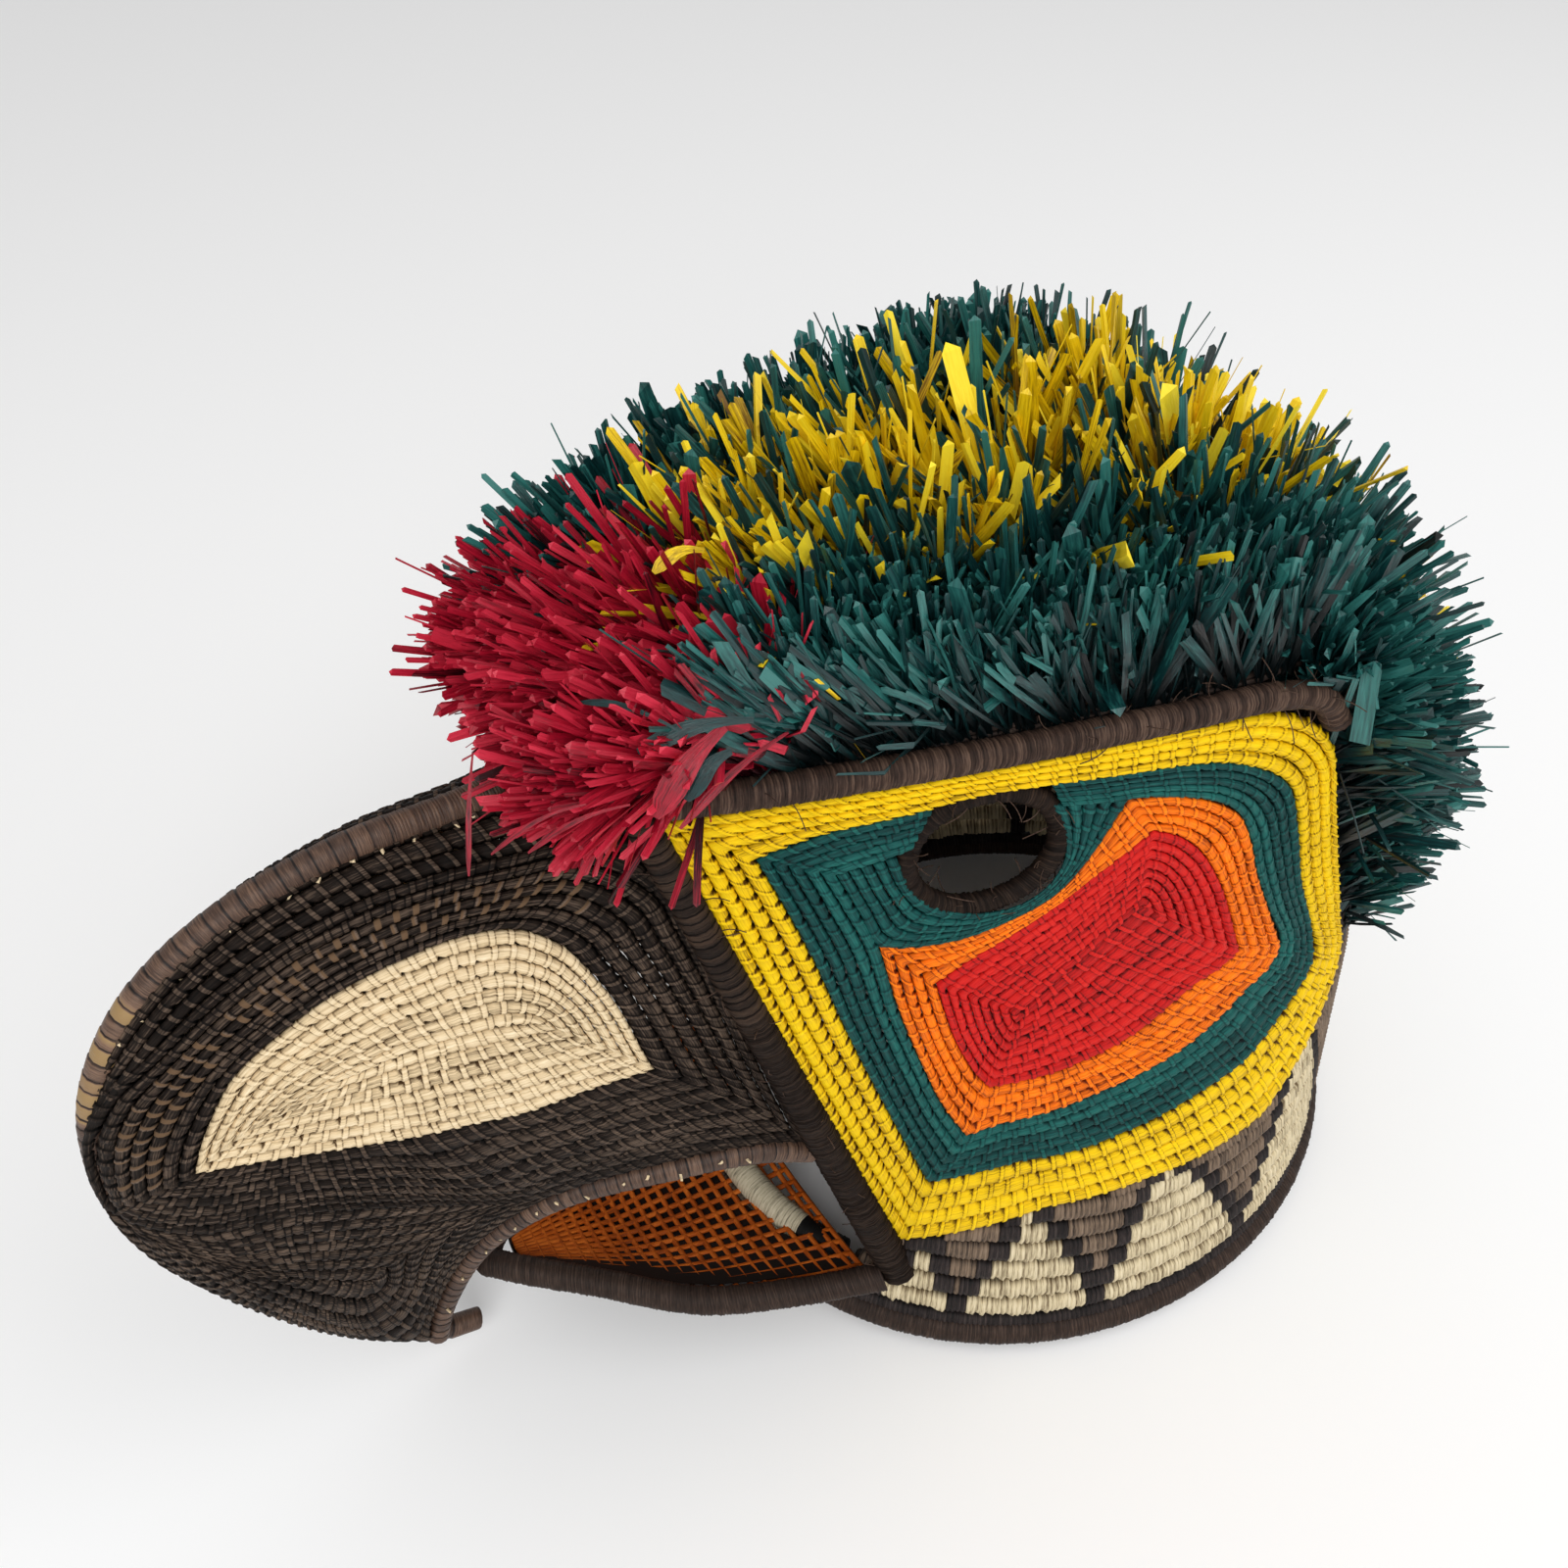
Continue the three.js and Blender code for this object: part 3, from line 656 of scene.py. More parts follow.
# The lining's colour is painted shadow: near black, as the shade seen through the lower beak's grid
shadow_lining_fibre = fibre_finish("shadow_lining_fibre", (8, 6, 5), (24, 17, 14), (40, 28, 22))
crown_fibre = fibre_finish("crown_fibre", (12, 10, 9), (50, 40, 36), (84, 70, 62))
red_strip = fibre_finish("red_strip_finish", (40, 0, 8), (168, 14, 42), (212, 46, 70), rough=0.42, gloss=0.4)
yellow_strip = fibre_finish("yellow_strip_finish", (110, 76, 0), (242, 202, 8), (254, 228, 50),
                            rough=0.45, gloss=0.4)
green_strip = fibre_finish("green_strip_finish", (0, 8, 10), (8, 55, 56), (46, 114, 108),
                           rough=0.40, gloss=0.5)

# Face panels, with outlines in panel coordinates

face_core = np.array([-30.0, 0.0, 110.0])

panel_left = [
    (0.02, 0.0), (0.012, 0.25), (0.010, 0.38), (0.008, 0.54), (0.012, 0.73), (0.015, 0.83), (0.01, 0.985),
]
panel_long = [
    (0.01, 0.985), (0.17, 0.986), (0.35, 0.986), (0.48, 0.986), (0.64, 0.986), (0.81, 0.984), (0.90, 0.975),
    (0.968, 0.93), (1.0, 0.85), (1.0, 0.74), (1.0, 0.50), (1.0, 0.25), (0.985, 0.03), (0.86, 0.0),
    (0.76, 0.0), (0.62, 0.0), (0.38, 0.0), (0.02, 0.0),
]
yellow_left = [
    (0.12, 0.157), (0.12, 0.30), (0.122, 0.42), (0.128, 0.57), (0.138, 0.70), (0.140, 0.80), (0.138, 0.904),
]
yellow_long = [
    (0.138, 0.904), (0.258, 0.926), (0.404, 0.935), (0.505, 0.944), (0.635, 0.935), (0.779, 0.915),
    (0.833, 0.892), (0.885, 0.839), (0.912, 0.779), (0.917, 0.688), (0.907, 0.482), (0.914, 0.339),
    (0.914, 0.212), (0.837, 0.179), (0.754, 0.187), (0.623, 0.166), (0.401, 0.136), (0.12, 0.157),
]
teal_long_outer = [
    (0.600, 0.941), (0.66, 0.933), (0.735, 0.924), (0.79, 0.912), (0.845, 0.885), (0.885, 0.839),
    (0.912, 0.779), (0.915, 0.64), (0.908, 0.50), (0.914, 0.30), (0.900, 0.205), (0.80, 0.183),
    (0.623, 0.166), (0.385, 0.137), (0.12, 0.157),
]
teal_long_inner = [
    (0.602, 0.895), (0.655, 0.884), (0.713, 0.875), (0.766, 0.849), (0.808, 0.813), (0.831, 0.769),
    (0.839, 0.698), (0.836, 0.60), (0.841, 0.49), (0.847, 0.367), (0.821, 0.343), (0.757, 0.341),
    (0.623, 0.296), (0.40, 0.258), (0.217, 0.249),
]
teal_left_inner = [
    (0.217, 0.249), (0.208, 0.335), (0.212, 0.442), (0.224, 0.575), (0.247, 0.704), (0.247, 0.78),
    (0.244, 0.851),
]
teal_top_outer = [(0.138, 0.904), (0.27, 0.926), (0.43, 0.938)]
teal_top_inner = [(0.244, 0.851), (0.30, 0.858), (0.37, 0.872)]
orange_left = [(0.217, 0.249), (0.208, 0.333), (0.212, 0.442), (0.224, 0.575), (0.247, 0.704)]
orange_slope = [
    (0.247, 0.704), (0.34, 0.685), (0.43, 0.695), (0.53, 0.728), (0.60, 0.78), (0.65, 0.83), (0.692, 0.878),
]
orange_right = [
    (0.692, 0.878), (0.74, 0.865), (0.79, 0.83), (0.831, 0.769), (0.839, 0.698), (0.836, 0.60),
    (0.841, 0.49), (0.847, 0.367),
]
orange_foot = [
    (0.847, 0.367), (0.821, 0.343), (0.757, 0.341), (0.623, 0.296), (0.40, 0.258), (0.217, 0.249),
]
eye_side = [(0.244, 0.851), (0.246, 0.775)] + orange_slope
eye_ring = [
    (0.345, 0.862), (0.342, 0.802), (0.362, 0.760), (0.405, 0.732), (0.46, 0.724), (0.522, 0.745),
    (0.572, 0.795), (0.590, 0.86), (0.587, 0.90),
]
red_left = [(0.29, 0.347), (0.281, 0.385), (0.279, 0.472), (0.288, 0.54), (0.299, 0.604)]
red_slope = [
    (0.299, 0.604), (0.37, 0.64), (0.44, 0.668), (0.53, 0.708), (0.60, 0.745), (0.66, 0.775), (0.71, 0.804),
]
red_right = [
    (0.71, 0.804), (0.728, 0.79), (0.746, 0.767), (0.765, 0.72), (0.775, 0.66), (0.779, 0.602),
    (0.778, 0.524), (0.775, 0.446),
]
red_foot = [(0.775, 0.446), (0.745, 0.442), (0.697, 0.438), (0.544, 0.373), (0.418, 0.346), (0.29, 0.347)]
heart_low = (0.397, 0.502)
heart_high = (0.651, 0.657)


def between(start, end, count):
    """Evenly spaced points from one to the other."""
    start, end = np.array(start), np.array(end)
    return [tuple(start + (end - start) * i / (count - 1)) for i in range(count)]


def face_rows():
    piece = new_piece()
    yellow, teal, orange, red = range(4)
    orange_sides = [orange_left, orange_slope, orange_right, orange_foot]
    red_sides = [red_left, red_slope, red_right, red_foot]
    heart = [between(heart_low, heart_low, 5), between(heart_low, heart_high, 7),
             between(heart_high, heart_high, 8), between(heart_high, heart_low, 6)]

    def lay(outer, inner, count, finish, pitch=4.3, **look):
        look.update(pitch=pitch, band=0.36)
        lay_rows(piece, face_surface, face_core, outer, inner, count, finish, look)

    lay([panel_left, panel_long], [yellow_left, yellow_long], 4, yellow,
        closed=True, raised=0.7, spike=1.35, holes=0.85)
    lay([teal_long_outer, yellow_left, teal_top_outer], [teal_long_inner, teal_left_inner, teal_top_inner],
        5, teal, holes=0.3)
    lay([eye_side], [eye_ring], 5, teal, pitch=4.0, holes=0.2)
    lay(orange_sides, red_sides, 4, orange, pitch=4.2, closed=True, holes=0.5)
    lay(red_sides, heart, 8, red, pitch=4.0, closed=True, holes=0.35)
    return close_piece(piece)


face_finishes = [yellow_fibre, teal_fibre, orange_fibre, red_fibre]
show_pair("face_panel", "rows", face_rows(), face_finishes, "face_fibre")

# Beak panels, with outlines in panel coordinates

beak_core = np.array([-150.0, 0.0, 120.0])

cream_over = [
    (0.456, 0.147), (0.432, 0.143), (0.398, 0.139), (0.353, 0.131), (0.304, 0.133), (0.256, 0.132),
    (0.208, 0.135), (0.167, 0.139), (0.133, 0.157), (0.113, 0.217), (0.110, 0.291), (0.115, 0.415),
    (0.143, 0.621),
]
cream_under = [
    (0.143, 0.621), (0.18, 0.615), (0.217, 0.605), (0.28, 0.581), (0.325, 0.52), (0.35, 0.475), (0.378, 0.40),
    (0.405, 0.31), (0.432, 0.22), (0.456, 0.147),
]
slit_over = [
    (0.351, 0.232), (0.345, 0.237), (0.335, 0.247), (0.315, 0.264), (0.29, 0.282), (0.265, 0.298),
    (0.24, 0.32), (0.223, 0.333), (0.208, 0.347), (0.198, 0.358), (0.19, 0.367), (0.186, 0.373),
    (0.183, 0.378),
]
slit_under = [
    (0.183, 0.378), (0.191, 0.369), (0.20, 0.36), (0.223, 0.333), (0.25, 0.31), (0.27, 0.295), (0.29, 0.28),
    (0.31, 0.266), (0.33, 0.25), (0.351, 0.232),
]
dark_over = [
    (0.555, -0.024), (0.49, -0.026), (0.43, -0.008), (0.365, 0.030), (0.30, 0.037), (0.235, 0.039),
    (0.17, 0.043), (0.105, 0.052), (0.030, 0.085), (-0.008, 0.20), (-0.010, 0.33), (-0.010, 0.52),
    (-0.004, 0.985),
]
dark_under = [
    (-0.004, 0.985), (0.12, 0.985), (0.20, 0.975), (0.30, 0.968), (0.41, 0.962), (0.485, 0.955),
    (0.480, 0.62), (0.487, 0.37), (0.535, 0.15), (0.555, -0.024),
]
ridge_side = [
    (0.44, -0.010), (0.365, -0.008), (0.30, -0.008), (0.235, -0.008), (0.17, -0.008), (0.105, -0.006),
    (0.030, 0.004), (-0.006, 0.01),
]
first_row = [(0.44, 0.004)] + dark_over[3:10]
hook_over = [(0.555, -0.024), (0.535, 0.15), (0.487, 0.37), (0.480, 0.62), (0.485, 0.80), (0.487, 0.953)]
hook_right = [(0.487, 0.953), (0.60, 0.95), (0.72, 0.935), (0.85, 0.85), (0.94, 0.60), (0.985, 0.08)]
hook_under = [(0.985, 0.08), (0.90, -0.01), (0.80, -0.02), (0.70, -0.024), (0.62, -0.025), (0.555, -0.024)]
hook_rear = (0.585, 0.235)
hook_front = (0.656, 0.524)


def brown_stitch(centre):
    """Some rows round the half-moon are stitched with a lighter strip."""
    inside = (centre[:, 0] < -136) & (centre[:, 2] > 92)
    return np.where(inside, dice.choice([0.0, 2.3], len(centre), p=[0.45, 0.55]), 0.0)


def beak_rows():
    piece = new_piece()
    dark, cream = range(2)
    half_moon = [cream_over, cream_under]
    hook_middle = [between(hook_rear, hook_front, 6), between(hook_front, hook_front, 6),
                   between(hook_front, hook_rear, 6)]

    def lay(outer, inner, count, finish, closed=True, **look):
        look.update(pitch=3.8, band=0.4, thick=1.5, holes=0.45, closed=closed)
        lay_rows(piece, beak_surface, beak_core, outer, inner, count, finish, look)

    lay(half_moon, [slit_over, slit_under], 7, cream)
    lay([dark_over, dark_under], half_moon, 7, dark, mark=brown_stitch, rows_marked=(2, 3, 4))
    lay([ridge_side], [first_row], 3, dark, closed=False)
    lay([hook_over, hook_right, hook_under], hook_middle, 7, dark)
    return close_piece(piece)


show_pair("beak_panel", "rows", beak_rows(), [dark_fibre, cream_fibre], "beak_fibre")

# Wrapped rolls

fine_wrap = 0.62
base_roll_radius = 4.3
base_roll_height = 4.6
eye_half_length = 16.4
eye_half_height = 13.8


def one_roll(name, line, radius, ref, finish, record_slot="roll_fibre", mirror=False, **options):
    piece = new_piece()
    lay_roll(piece, line, radius, ref, **options)
    mesh = close_piece(piece)
    if mirror:
        show_pair(name, "wraps", mesh, [finish], record_slot)
    else:
        show(name + "_wraps", mesh, [finish], record_slot, name)


def base_line():
    turn = np.linspace(0, full_turn, 241)
    length = band_half_length - 2
    width = band_half_width - 2
    return np.stack([-length * np.cos(turn), -width * np.sin(turn), base_roll_height + 0 * turn], axis=-1)


def spread(start, end, width, length):
    """Edges of strip turns of about one width between two shares of a roll."""
    count = int(round((end - start) * length / width))
    edges = np.linspace(start, end, count + 1)
    return edges[:-1] + dice.uniform(-0.12, 0.12, count) * (end - start) / count * (np.arange(count) > 0)


def pale_stretch(share, tone):
    """Part of the ridge is wrapped in paler strip."""
    pale = dice.choice([0.6, 2.0], len(share), p=[0.3, 0.7])
    return np.where((share > 0.345) & (share < 0.447) & (tone > -1.0), tone + pale, tone)


def pale_top(share, tone):
    """The top of the cheek roll is wrapped in broader, paler strip."""
    pale = dice.choice([0.0, 0.9], len(share), p=[0.5, 0.5])
    return tone + np.where((share < 0.34) & (tone > -1.0), pale, 0.0)


def throat_ends(share, tone):
    """The bar in the throat is wrapped in black at both ends."""
    return np.where((share < 0.16) | (share > 0.84), tone - 4.0, tone)


def ridge_radius(share):
    """The ridge is thinner over the hook and thicker again at its cut end."""
    return 3.2 - 0.9 * fade(share, 0.42, 0.5) + 0.7 * fade(share, 0.9, 0.96)


def top_line():
    """The roll lies on the panel's top edge and sinks onto it at the rear corner."""
    lifts = [(u, (0, 0, 2.0)) for u in (0.02, 0.2, 0.4, 0.6, 0.8, 0.9)]
    lifts += [(0.965, (0.2, 0, 1.6)), (0.998, (0.1, 0, 0.2))]
    return smooth_line([tuple(top_edge(np.array([u]))[0] + np.array(lift)) for u, lift in lifts])


def cheek_line():
    share = np.linspace(1.0, -0.085, 80)
    base = face_surface(0 * share, share)
    return base + np.stack([-1.6 + 0 * share, -0.3 + 0 * share, 0 * share], axis=-1)


def eye_line():
    """An oval in the plane of the face round the eye, and the direction out of the face."""
    u, v = np.array([0.47]), np.array([0.834])
    here = face_surface(u, v)[0]
    along = face_surface(u + 0.05, v)[0] - face_surface(u - 0.05, v)[0]
    rise = face_surface(u, v + 0.05)[0] - face_surface(u, v - 0.05)[0]
    out = unit(np.cross(along, rise))
    out = out if out[1] < 0 else -out
    along = unit(along - out * np.dot(along, out))
    up = np.cross(out, along)
    up = up if up[2] > 0 else -up
    turn = np.linspace(0, full_turn, 121)[:, None]
    sunk = here - out * 2.3
    return sunk + along * eye_half_length * np.cos(turn) + up * eye_half_height * np.sin(turn), out


def throat_line():
    degrees = np.linspace(-28, 28, 60)
    inward = np.stack([0.97 + 0 * degrees, 0.97 * -np.sign(degrees), 1 + 0 * degrees], axis=-1)
    return band_surface(np.abs(degrees), 20.4 + 0 * degrees) * inward


ridge_length = travel_along(ridge_line)[-1]
ridge_turns = np.concatenate([
    spread(0, 0.16, fine_wrap, ridge_length), spread(0.16, 0.97, 3.4, ridge_length), [0.97, 1.0],
])
one_roll("base_roll", base_line(), base_roll_radius, (0, 0, 1), base_fibre, wrap=1.0, closed=True,
         look={"floor": 0.0, "uneven": 0.03})
one_roll("ridge_roll", ridge_line, ridge_radius, (0, 1, 0), ridge_fibre,
         look={"turns": ridge_turns, "paint": pale_stretch, "vary": 0.35})
one_roll("top_roll", top_line(), (3.3, 3.0), (0, 0, 1), roll_fibre, mirror=True, wrap=fine_wrap,
         look={"slant": 0.5, "uneven": 0.045, "vary": 0.7})

cheek_length = travel_along(cheek_line())[-1]
cheek_turns = np.concatenate([
    spread(0, 0.34, 2.6, cheek_length), spread(0.34, 1, fine_wrap, cheek_length), [1.0],
])
one_roll("cheek_roll", cheek_line(), (3.2, 5.0), (0, 1, 0), cheek_fibre, mirror=True,
         look={"turns": cheek_turns, "paint": pale_top, "uneven": 0.035, "slant": 0.7})
mouth_turns = np.append(spread(0, 1, 2.8, travel_along(mouth_line)[-1]), 1.0)
one_roll("mouth_roll", mouth_line, 3.0, (0, 1, 0), ridge_fibre, mirror=True,
         look={"turns": mouth_turns, "slant": 0.5, "vary": 0.5})
one_roll("lower_beak_roll", jaw_rim_line, 3.7, (0, 0, 1), base_fibre, wrap=0.8,
         look={"uneven": 0.04, "slant": 0.8})
eye_centre_line, eye_out = eye_line()
one_roll("eye_roll", eye_centre_line, 2.4, eye_out, cheek_fibre, mirror=True, closed=True,
         look={"uneven": 0.08, "slant": 0.6, "vary": 0.6})
one_roll("throat_bar", throat_line(), 4.3, (0, 0, 1), throat_fibre, "throat_fibre", wrap=1.0,
         look={"paint": throat_ends})

# Head band

row_height = 8.0
band_rows = 10
first_row_foot = 11.5
low_row_foot = 7.2
stitch_width = 1.35
black_edge = 2.9

# Stepped triangles: middle angle and half width, in degrees, for each row from the floor up
back_steps = [12.0, 10.8, 9.5, 8.1, 6.7, 5.3, 3.9, 2.5, 1.0]
steps_of_triangles = [
    [(41.5, 5.0), (42.0, 2.6), (42.2, 1.4)],
    [(59.7, 9.8), (60.0, 8.2), (60.0, 6.4), (59.6, 4.4), (58.8, 2.4), (57.6, 0.8)],
    [(85.0, 12.3), (84.6, 11.0), (84.0, 9.3), (83.2, 7.6), (82.4, 5.8), (81.2, 3.6), (80.2, 0.9)],
    [(113.0, 12.5), (113.0, 11.3), (113.0, 10.0), (112.6, 8.6), (112.2, 7.2), (111.6, 5.8), (110.8, 4.2),
     (110.0, 2.6), (109.2, 1.0)],
] + [[(middle, half) for half in back_steps] for middle in (141.0, 168.0)]

# Section of a band row, up and out
band_body = np.array([
    (-1.0, 0.25), (-0.72, 0.74), (0.0, 1.0), (0.72, 0.74), (1.0, 0.25), (0.0, -1.0), (-1.0, 0.25),
])


def band_paint(degrees, row):
    """0 for the grey ground, 1 for cream, 2 for black. The low row under the triangles is black."""
    if row < 0:
        return 2
    paint = 0
    for steps in steps_of_triangles:
        if row < len(steps):
            middle, half = steps[row]
            away = abs(degrees - middle)
            if away < half:
                return 1
            if away < half + black_edge:
                paint = 2
        elif row == len(steps) and abs(degrees - steps[-1][0]) < 3.5:
            paint = 2
    return paint


def per_stitch(size, count):
    """A random value from -size to size for each stitch's two stations, and 0 at the end."""
    return np.append(np.repeat(dice.uniform(-size, size, count), 2), 0)


def band_run(piece, places, low, high, paint):
    """Stitches of one colour side by side, on both sides of the band."""
    count = len(places) - 1
    a, b = places[:-1], places[1:]
    degrees = np.append(np.stack([a, a + (b - a) * 0.55], axis=1).ravel(), places[-1])
    raised = np.append(np.tile([False, True], count), False)
    strip = per_stitch(0.5, count)
    ragged = 1.0 if paint == 1 else 0.35
    below = low + per_stitch(ragged, count)
    roof = np.minimum(high + per_stitch(ragged, count), band_top(degrees) + 0.9)
    middle = (below + roof) / 2
    half = (roof - below) / 2
    depth = np.where(raised, 3.3, 2.9)
    # Painted light and shade: raised stitches painted lighter, the dips between them darker, and the top and
    # bottom edges of each row darker as the shade in the grooves between rows
    tone = np.where(raised, 0.2, -0.9) + strip
    tone = tone[:, None] - 0.9 * (np.abs(band_body[None, :, 0]) > 0.9)
    height = band_body[None, :, 0] * half[:, None]
    fibre = np.stack([np.radians(degrees)[:, None] * 95 + 0 * tone, height, tone], axis=-1)
    for side in (-1, 1):
        centre = band_surface(degrees, middle) * np.array([1, -side, 1])
        out = unit(centre * np.array([1, 1, 0]) / np.array([band_half_length ** 2, band_half_width ** 2, 1]))
        base = centre - out * 2.4
        points = (base[:, None] + np.array([0, 0, 1.0]) * height[..., None]
                  + out[:, None] * (band_body[None, :, 1] * depth[:, None])[..., None])
        lay_skin(piece, points, fibre, paint)


def band_row(piece, row):
    low = first_row_foot + row_height * row if row >= 0 else low_row_foot
    high = low + row_height if row >= 0 else first_row_foot
    arc = np.linspace(0, 180, 1441)
    alive = arc[band_top(arc) + 0.6 - low > 2.0]
    if len(alive) == 0:
        return
    degrees = np.linspace(alive[0], 180, 800)
    travel = travel_along(band_surface(degrees, low + 4 + 0 * degrees))
    count = int(travel[-1] / stitch_width)
    places = np.interp(np.arange(count + 1) / count * travel[-1], travel, degrees)
    paints = [band_paint(middle, row) for middle in (places[:-1] + places[1:]) / 2]
    changes = [k for k in range(1, count) if paints[k] != paints[k - 1]]
    for begin, end in zip([0] + changes, changes + [count]):
        band_run(piece, places[begin:end + 1], low, high, paints[begin])


def head_band():
    piece = new_piece()
    for row in range(-1, band_rows):
        band_row(piece, row)
    return close_piece(piece)


show("head_band_rows", head_band(), [band_grey, band_cream, band_black], "band_fibre", "head_band")

# Lower beak: an open grid over a lining painted dark as the shadow seen through the grid's holes

cross_threads = 24
long_threads = 22
thread_half_width = 0.85


def lay_thread(piece, u, v):
    turn = np.linspace(0, full_turn, 6)
    line = jaw_surface(u, v) + np.array([0, 0, 0.9])
    side, up = across_line(line, (0, 0, 1.0))
    points = (line[:, None] + side[:, None] * (np.cos(turn) * thread_half_width)[None, :, None]
              + up[:, None] * (np.sin(turn) * thread_half_width * 0.7)[None, :, None])
    tone = dice.uniform(-0.7, 0.7, (len(line), 1)) + 0 * turn[None]
    fibre = np.stack([travel_along(line)[:, None] + 0 * tone, np.sin(turn)[None] + 0 * tone, tone], axis=-1)
    lay_skin(piece, points, fibre, 0)


def jaw_grid():
    piece = new_piece()
    share = np.linspace(0, 1, 30)
    for k in range(cross_threads):
        lay_thread(piece, 0 * share + max(k, 0.35) / cross_threads, 0.03 + 0.94 * share)
    for k in range(1, long_threads):
        lay_thread(piece, share * 0.98 + 0.01, 0 * share + k / long_threads)
    return close_piece(piece)


show("lower_beak_grid", jaw_grid(), [grid_orange], "lower_beak_fibre")
# The lower beak's plate is given the painted shadow colour, to show dark through the grid
jaw_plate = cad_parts["lower_beak"]
jaw_plate.data.materials.clear()
jaw_plate.data.materials.append(shadow_lining_fibre)

# Crown

crown_row_count = 24
crown_edge = 0.97


def crown_rows():
    piece = new_piece()
    share = np.linspace(0.03, 1.0, 90)
    look = {"pitch": 12.0, "band": 0.6, "thick": 1.5, "raised": 0.1}
    for k in range(crown_row_count):
        a = -crown_edge + 2 * crown_edge * k / crown_row_count
        b = -crown_edge + 2 * crown_edge * (k + 1) / crown_row_count
        sides = [(np.stack([share, a + 0 * share], axis=-1), np.stack([share, b + 0 * share], axis=-1))]
        lay_coil(piece, crown_surface, face_core, sides, 0, look)
    return close_piece(piece)


show("crown_rows", crown_rows(), [crown_fibre], "crown_fibre", "crown")

# Crest

strips_in_tuft = 6
crest_end = 0.98
hair_share = 0.08
along_strip = np.array([0.0, 0.36, 0.72, 1.0])[None, :, None]
strip_taper = np.array([0.7, 1.0, 1.05, 0.95])[None, :, None]
# Lightness from root to tip: painted shade, darkest at the root deep in the crest, to painted light at the
# tip
strip_root_shade = np.array([-2.6, -1.3, -0.05, 0.4])[None, :, None]
reach_shares = [0.0, 0.1, 0.2, 0.3, 0.5]
reach_forward = [-36.0, -36.0, -33.0, -25.0, 2.0]
reach_up = [6.0, 18.0, 38.0, 40.0, 38.0]


def strip_pattern():
    """One cut strip: a thin tube of three sides, to be shaped strip by strip."""
    mesh = bmesh.new()
    verts = bmesh.ops.create_grid(mesh, x_segments=3, y_segments=3, size=1)["verts"]
    bmesh.ops.weld_verts(mesh, targetmap={verts[4 * i + 3]: verts[4 * i] for i in range(4)})
    bmesh.ops.holes_fill(mesh, edges=[edge for edge in mesh.edges if edge.is_boundary], sides=0)
    return mesh_data("strip_pattern", mesh)


def red_edge(w):
    """Where the red strips give way to yellow and green ones."""
    return 0.238 - 0.055 * fade(np.abs(w), 0.35, 0.9) - 0.06 * fade(w, 0.1, 0.5)


def is_red(s, w):
    return s < red_edge(w)


def is_behind_red(s, w):
    return s > red_edge(w) + 0.01


def brush_reach(s, w):
    """From root to tip: forward over the forehead, upright at the sides of the face, fanned out behind."""
    root = crown_surface(np.interp(s, [0.0, 0.12, 0.25, 0.5, 1.0], [0.0, 0.075, 0.18, 0.49, 1.0]), w)
    reach = crest_tip(s, w) - root
    beside = (fade(np.abs(w), 0.4, 0.9) * (1 - fade(s, 0.5, 0.66)))[:, None]
    forward = np.interp(s, reach_shares, reach_forward)
    upright = np.stack([forward, np.sign(w) * 2.0, np.interp(s, reach_shares, reach_up)], axis=-1)
    return root, reach * (1 - beside) + upright * beside


def sway(root):
    """Neighbouring strips lean the same way, tuft by tuft."""
    x, y = root[:, 0], root[:, 1]
    return np.stack([
        np.sin(0.21 * x + 0.13 * y) + np.sin(0.43 * y - 0.17 * x),
        np.sin(0.19 * y - 0.24 * x + 2.0) + np.sin(0.37 * x + 0.29 * y),
        0.6 * np.sin(0.31 * x - 0.27 * y + 1.0),
    ], axis=-1)


def strip_places(keep, w_range, tufts, count):
    """The tuft of each strip, and the place of its root on the crown."""
    order = np.arange(tufts * 14)
    s = crest_end * ((order * 0.7549) % 1)
    w = w_range[0] + (w_range[1] - w_range[0]) * ((order * 0.5698) % 1)
    kept = keep(s + dice.normal(0, 0.008, len(s)), w)
    tuft = dice.integers(0, tufts, count)
    s = np.clip(s[kept][:tufts][tuft] + dice.normal(0, 0.010, count), 0, crest_end)
    w = np.clip(w[kept][:tufts][tuft] + dice.normal(0, 0.018, count), -0.99, 0.99)
    return tuft, s, w


def hold_over_roll(line):
    """Strips at the sides of the face stay above the top roll."""
    brow_line = top_edge(np.linspace(0, 1, 60))
    x, y = line[..., 0], np.abs(line[..., 1])
    roll_y = np.interp(x, brow_line[:, 0], -brow_line[:, 1])
    past_roll = (y > roll_y - 3) & (x < 16) & (x > -118)
    held = np.sign(line[..., 1]) * np.minimum(y, roll_y + 2.5)
    line[..., 1] = np.where(past_roll, held, line[..., 1])
    lifted = np.maximum(line[..., 2], face_top + 6 * along_strip[..., 0])
    line[..., 2] = np.where(past_roll, lifted, line[..., 2])


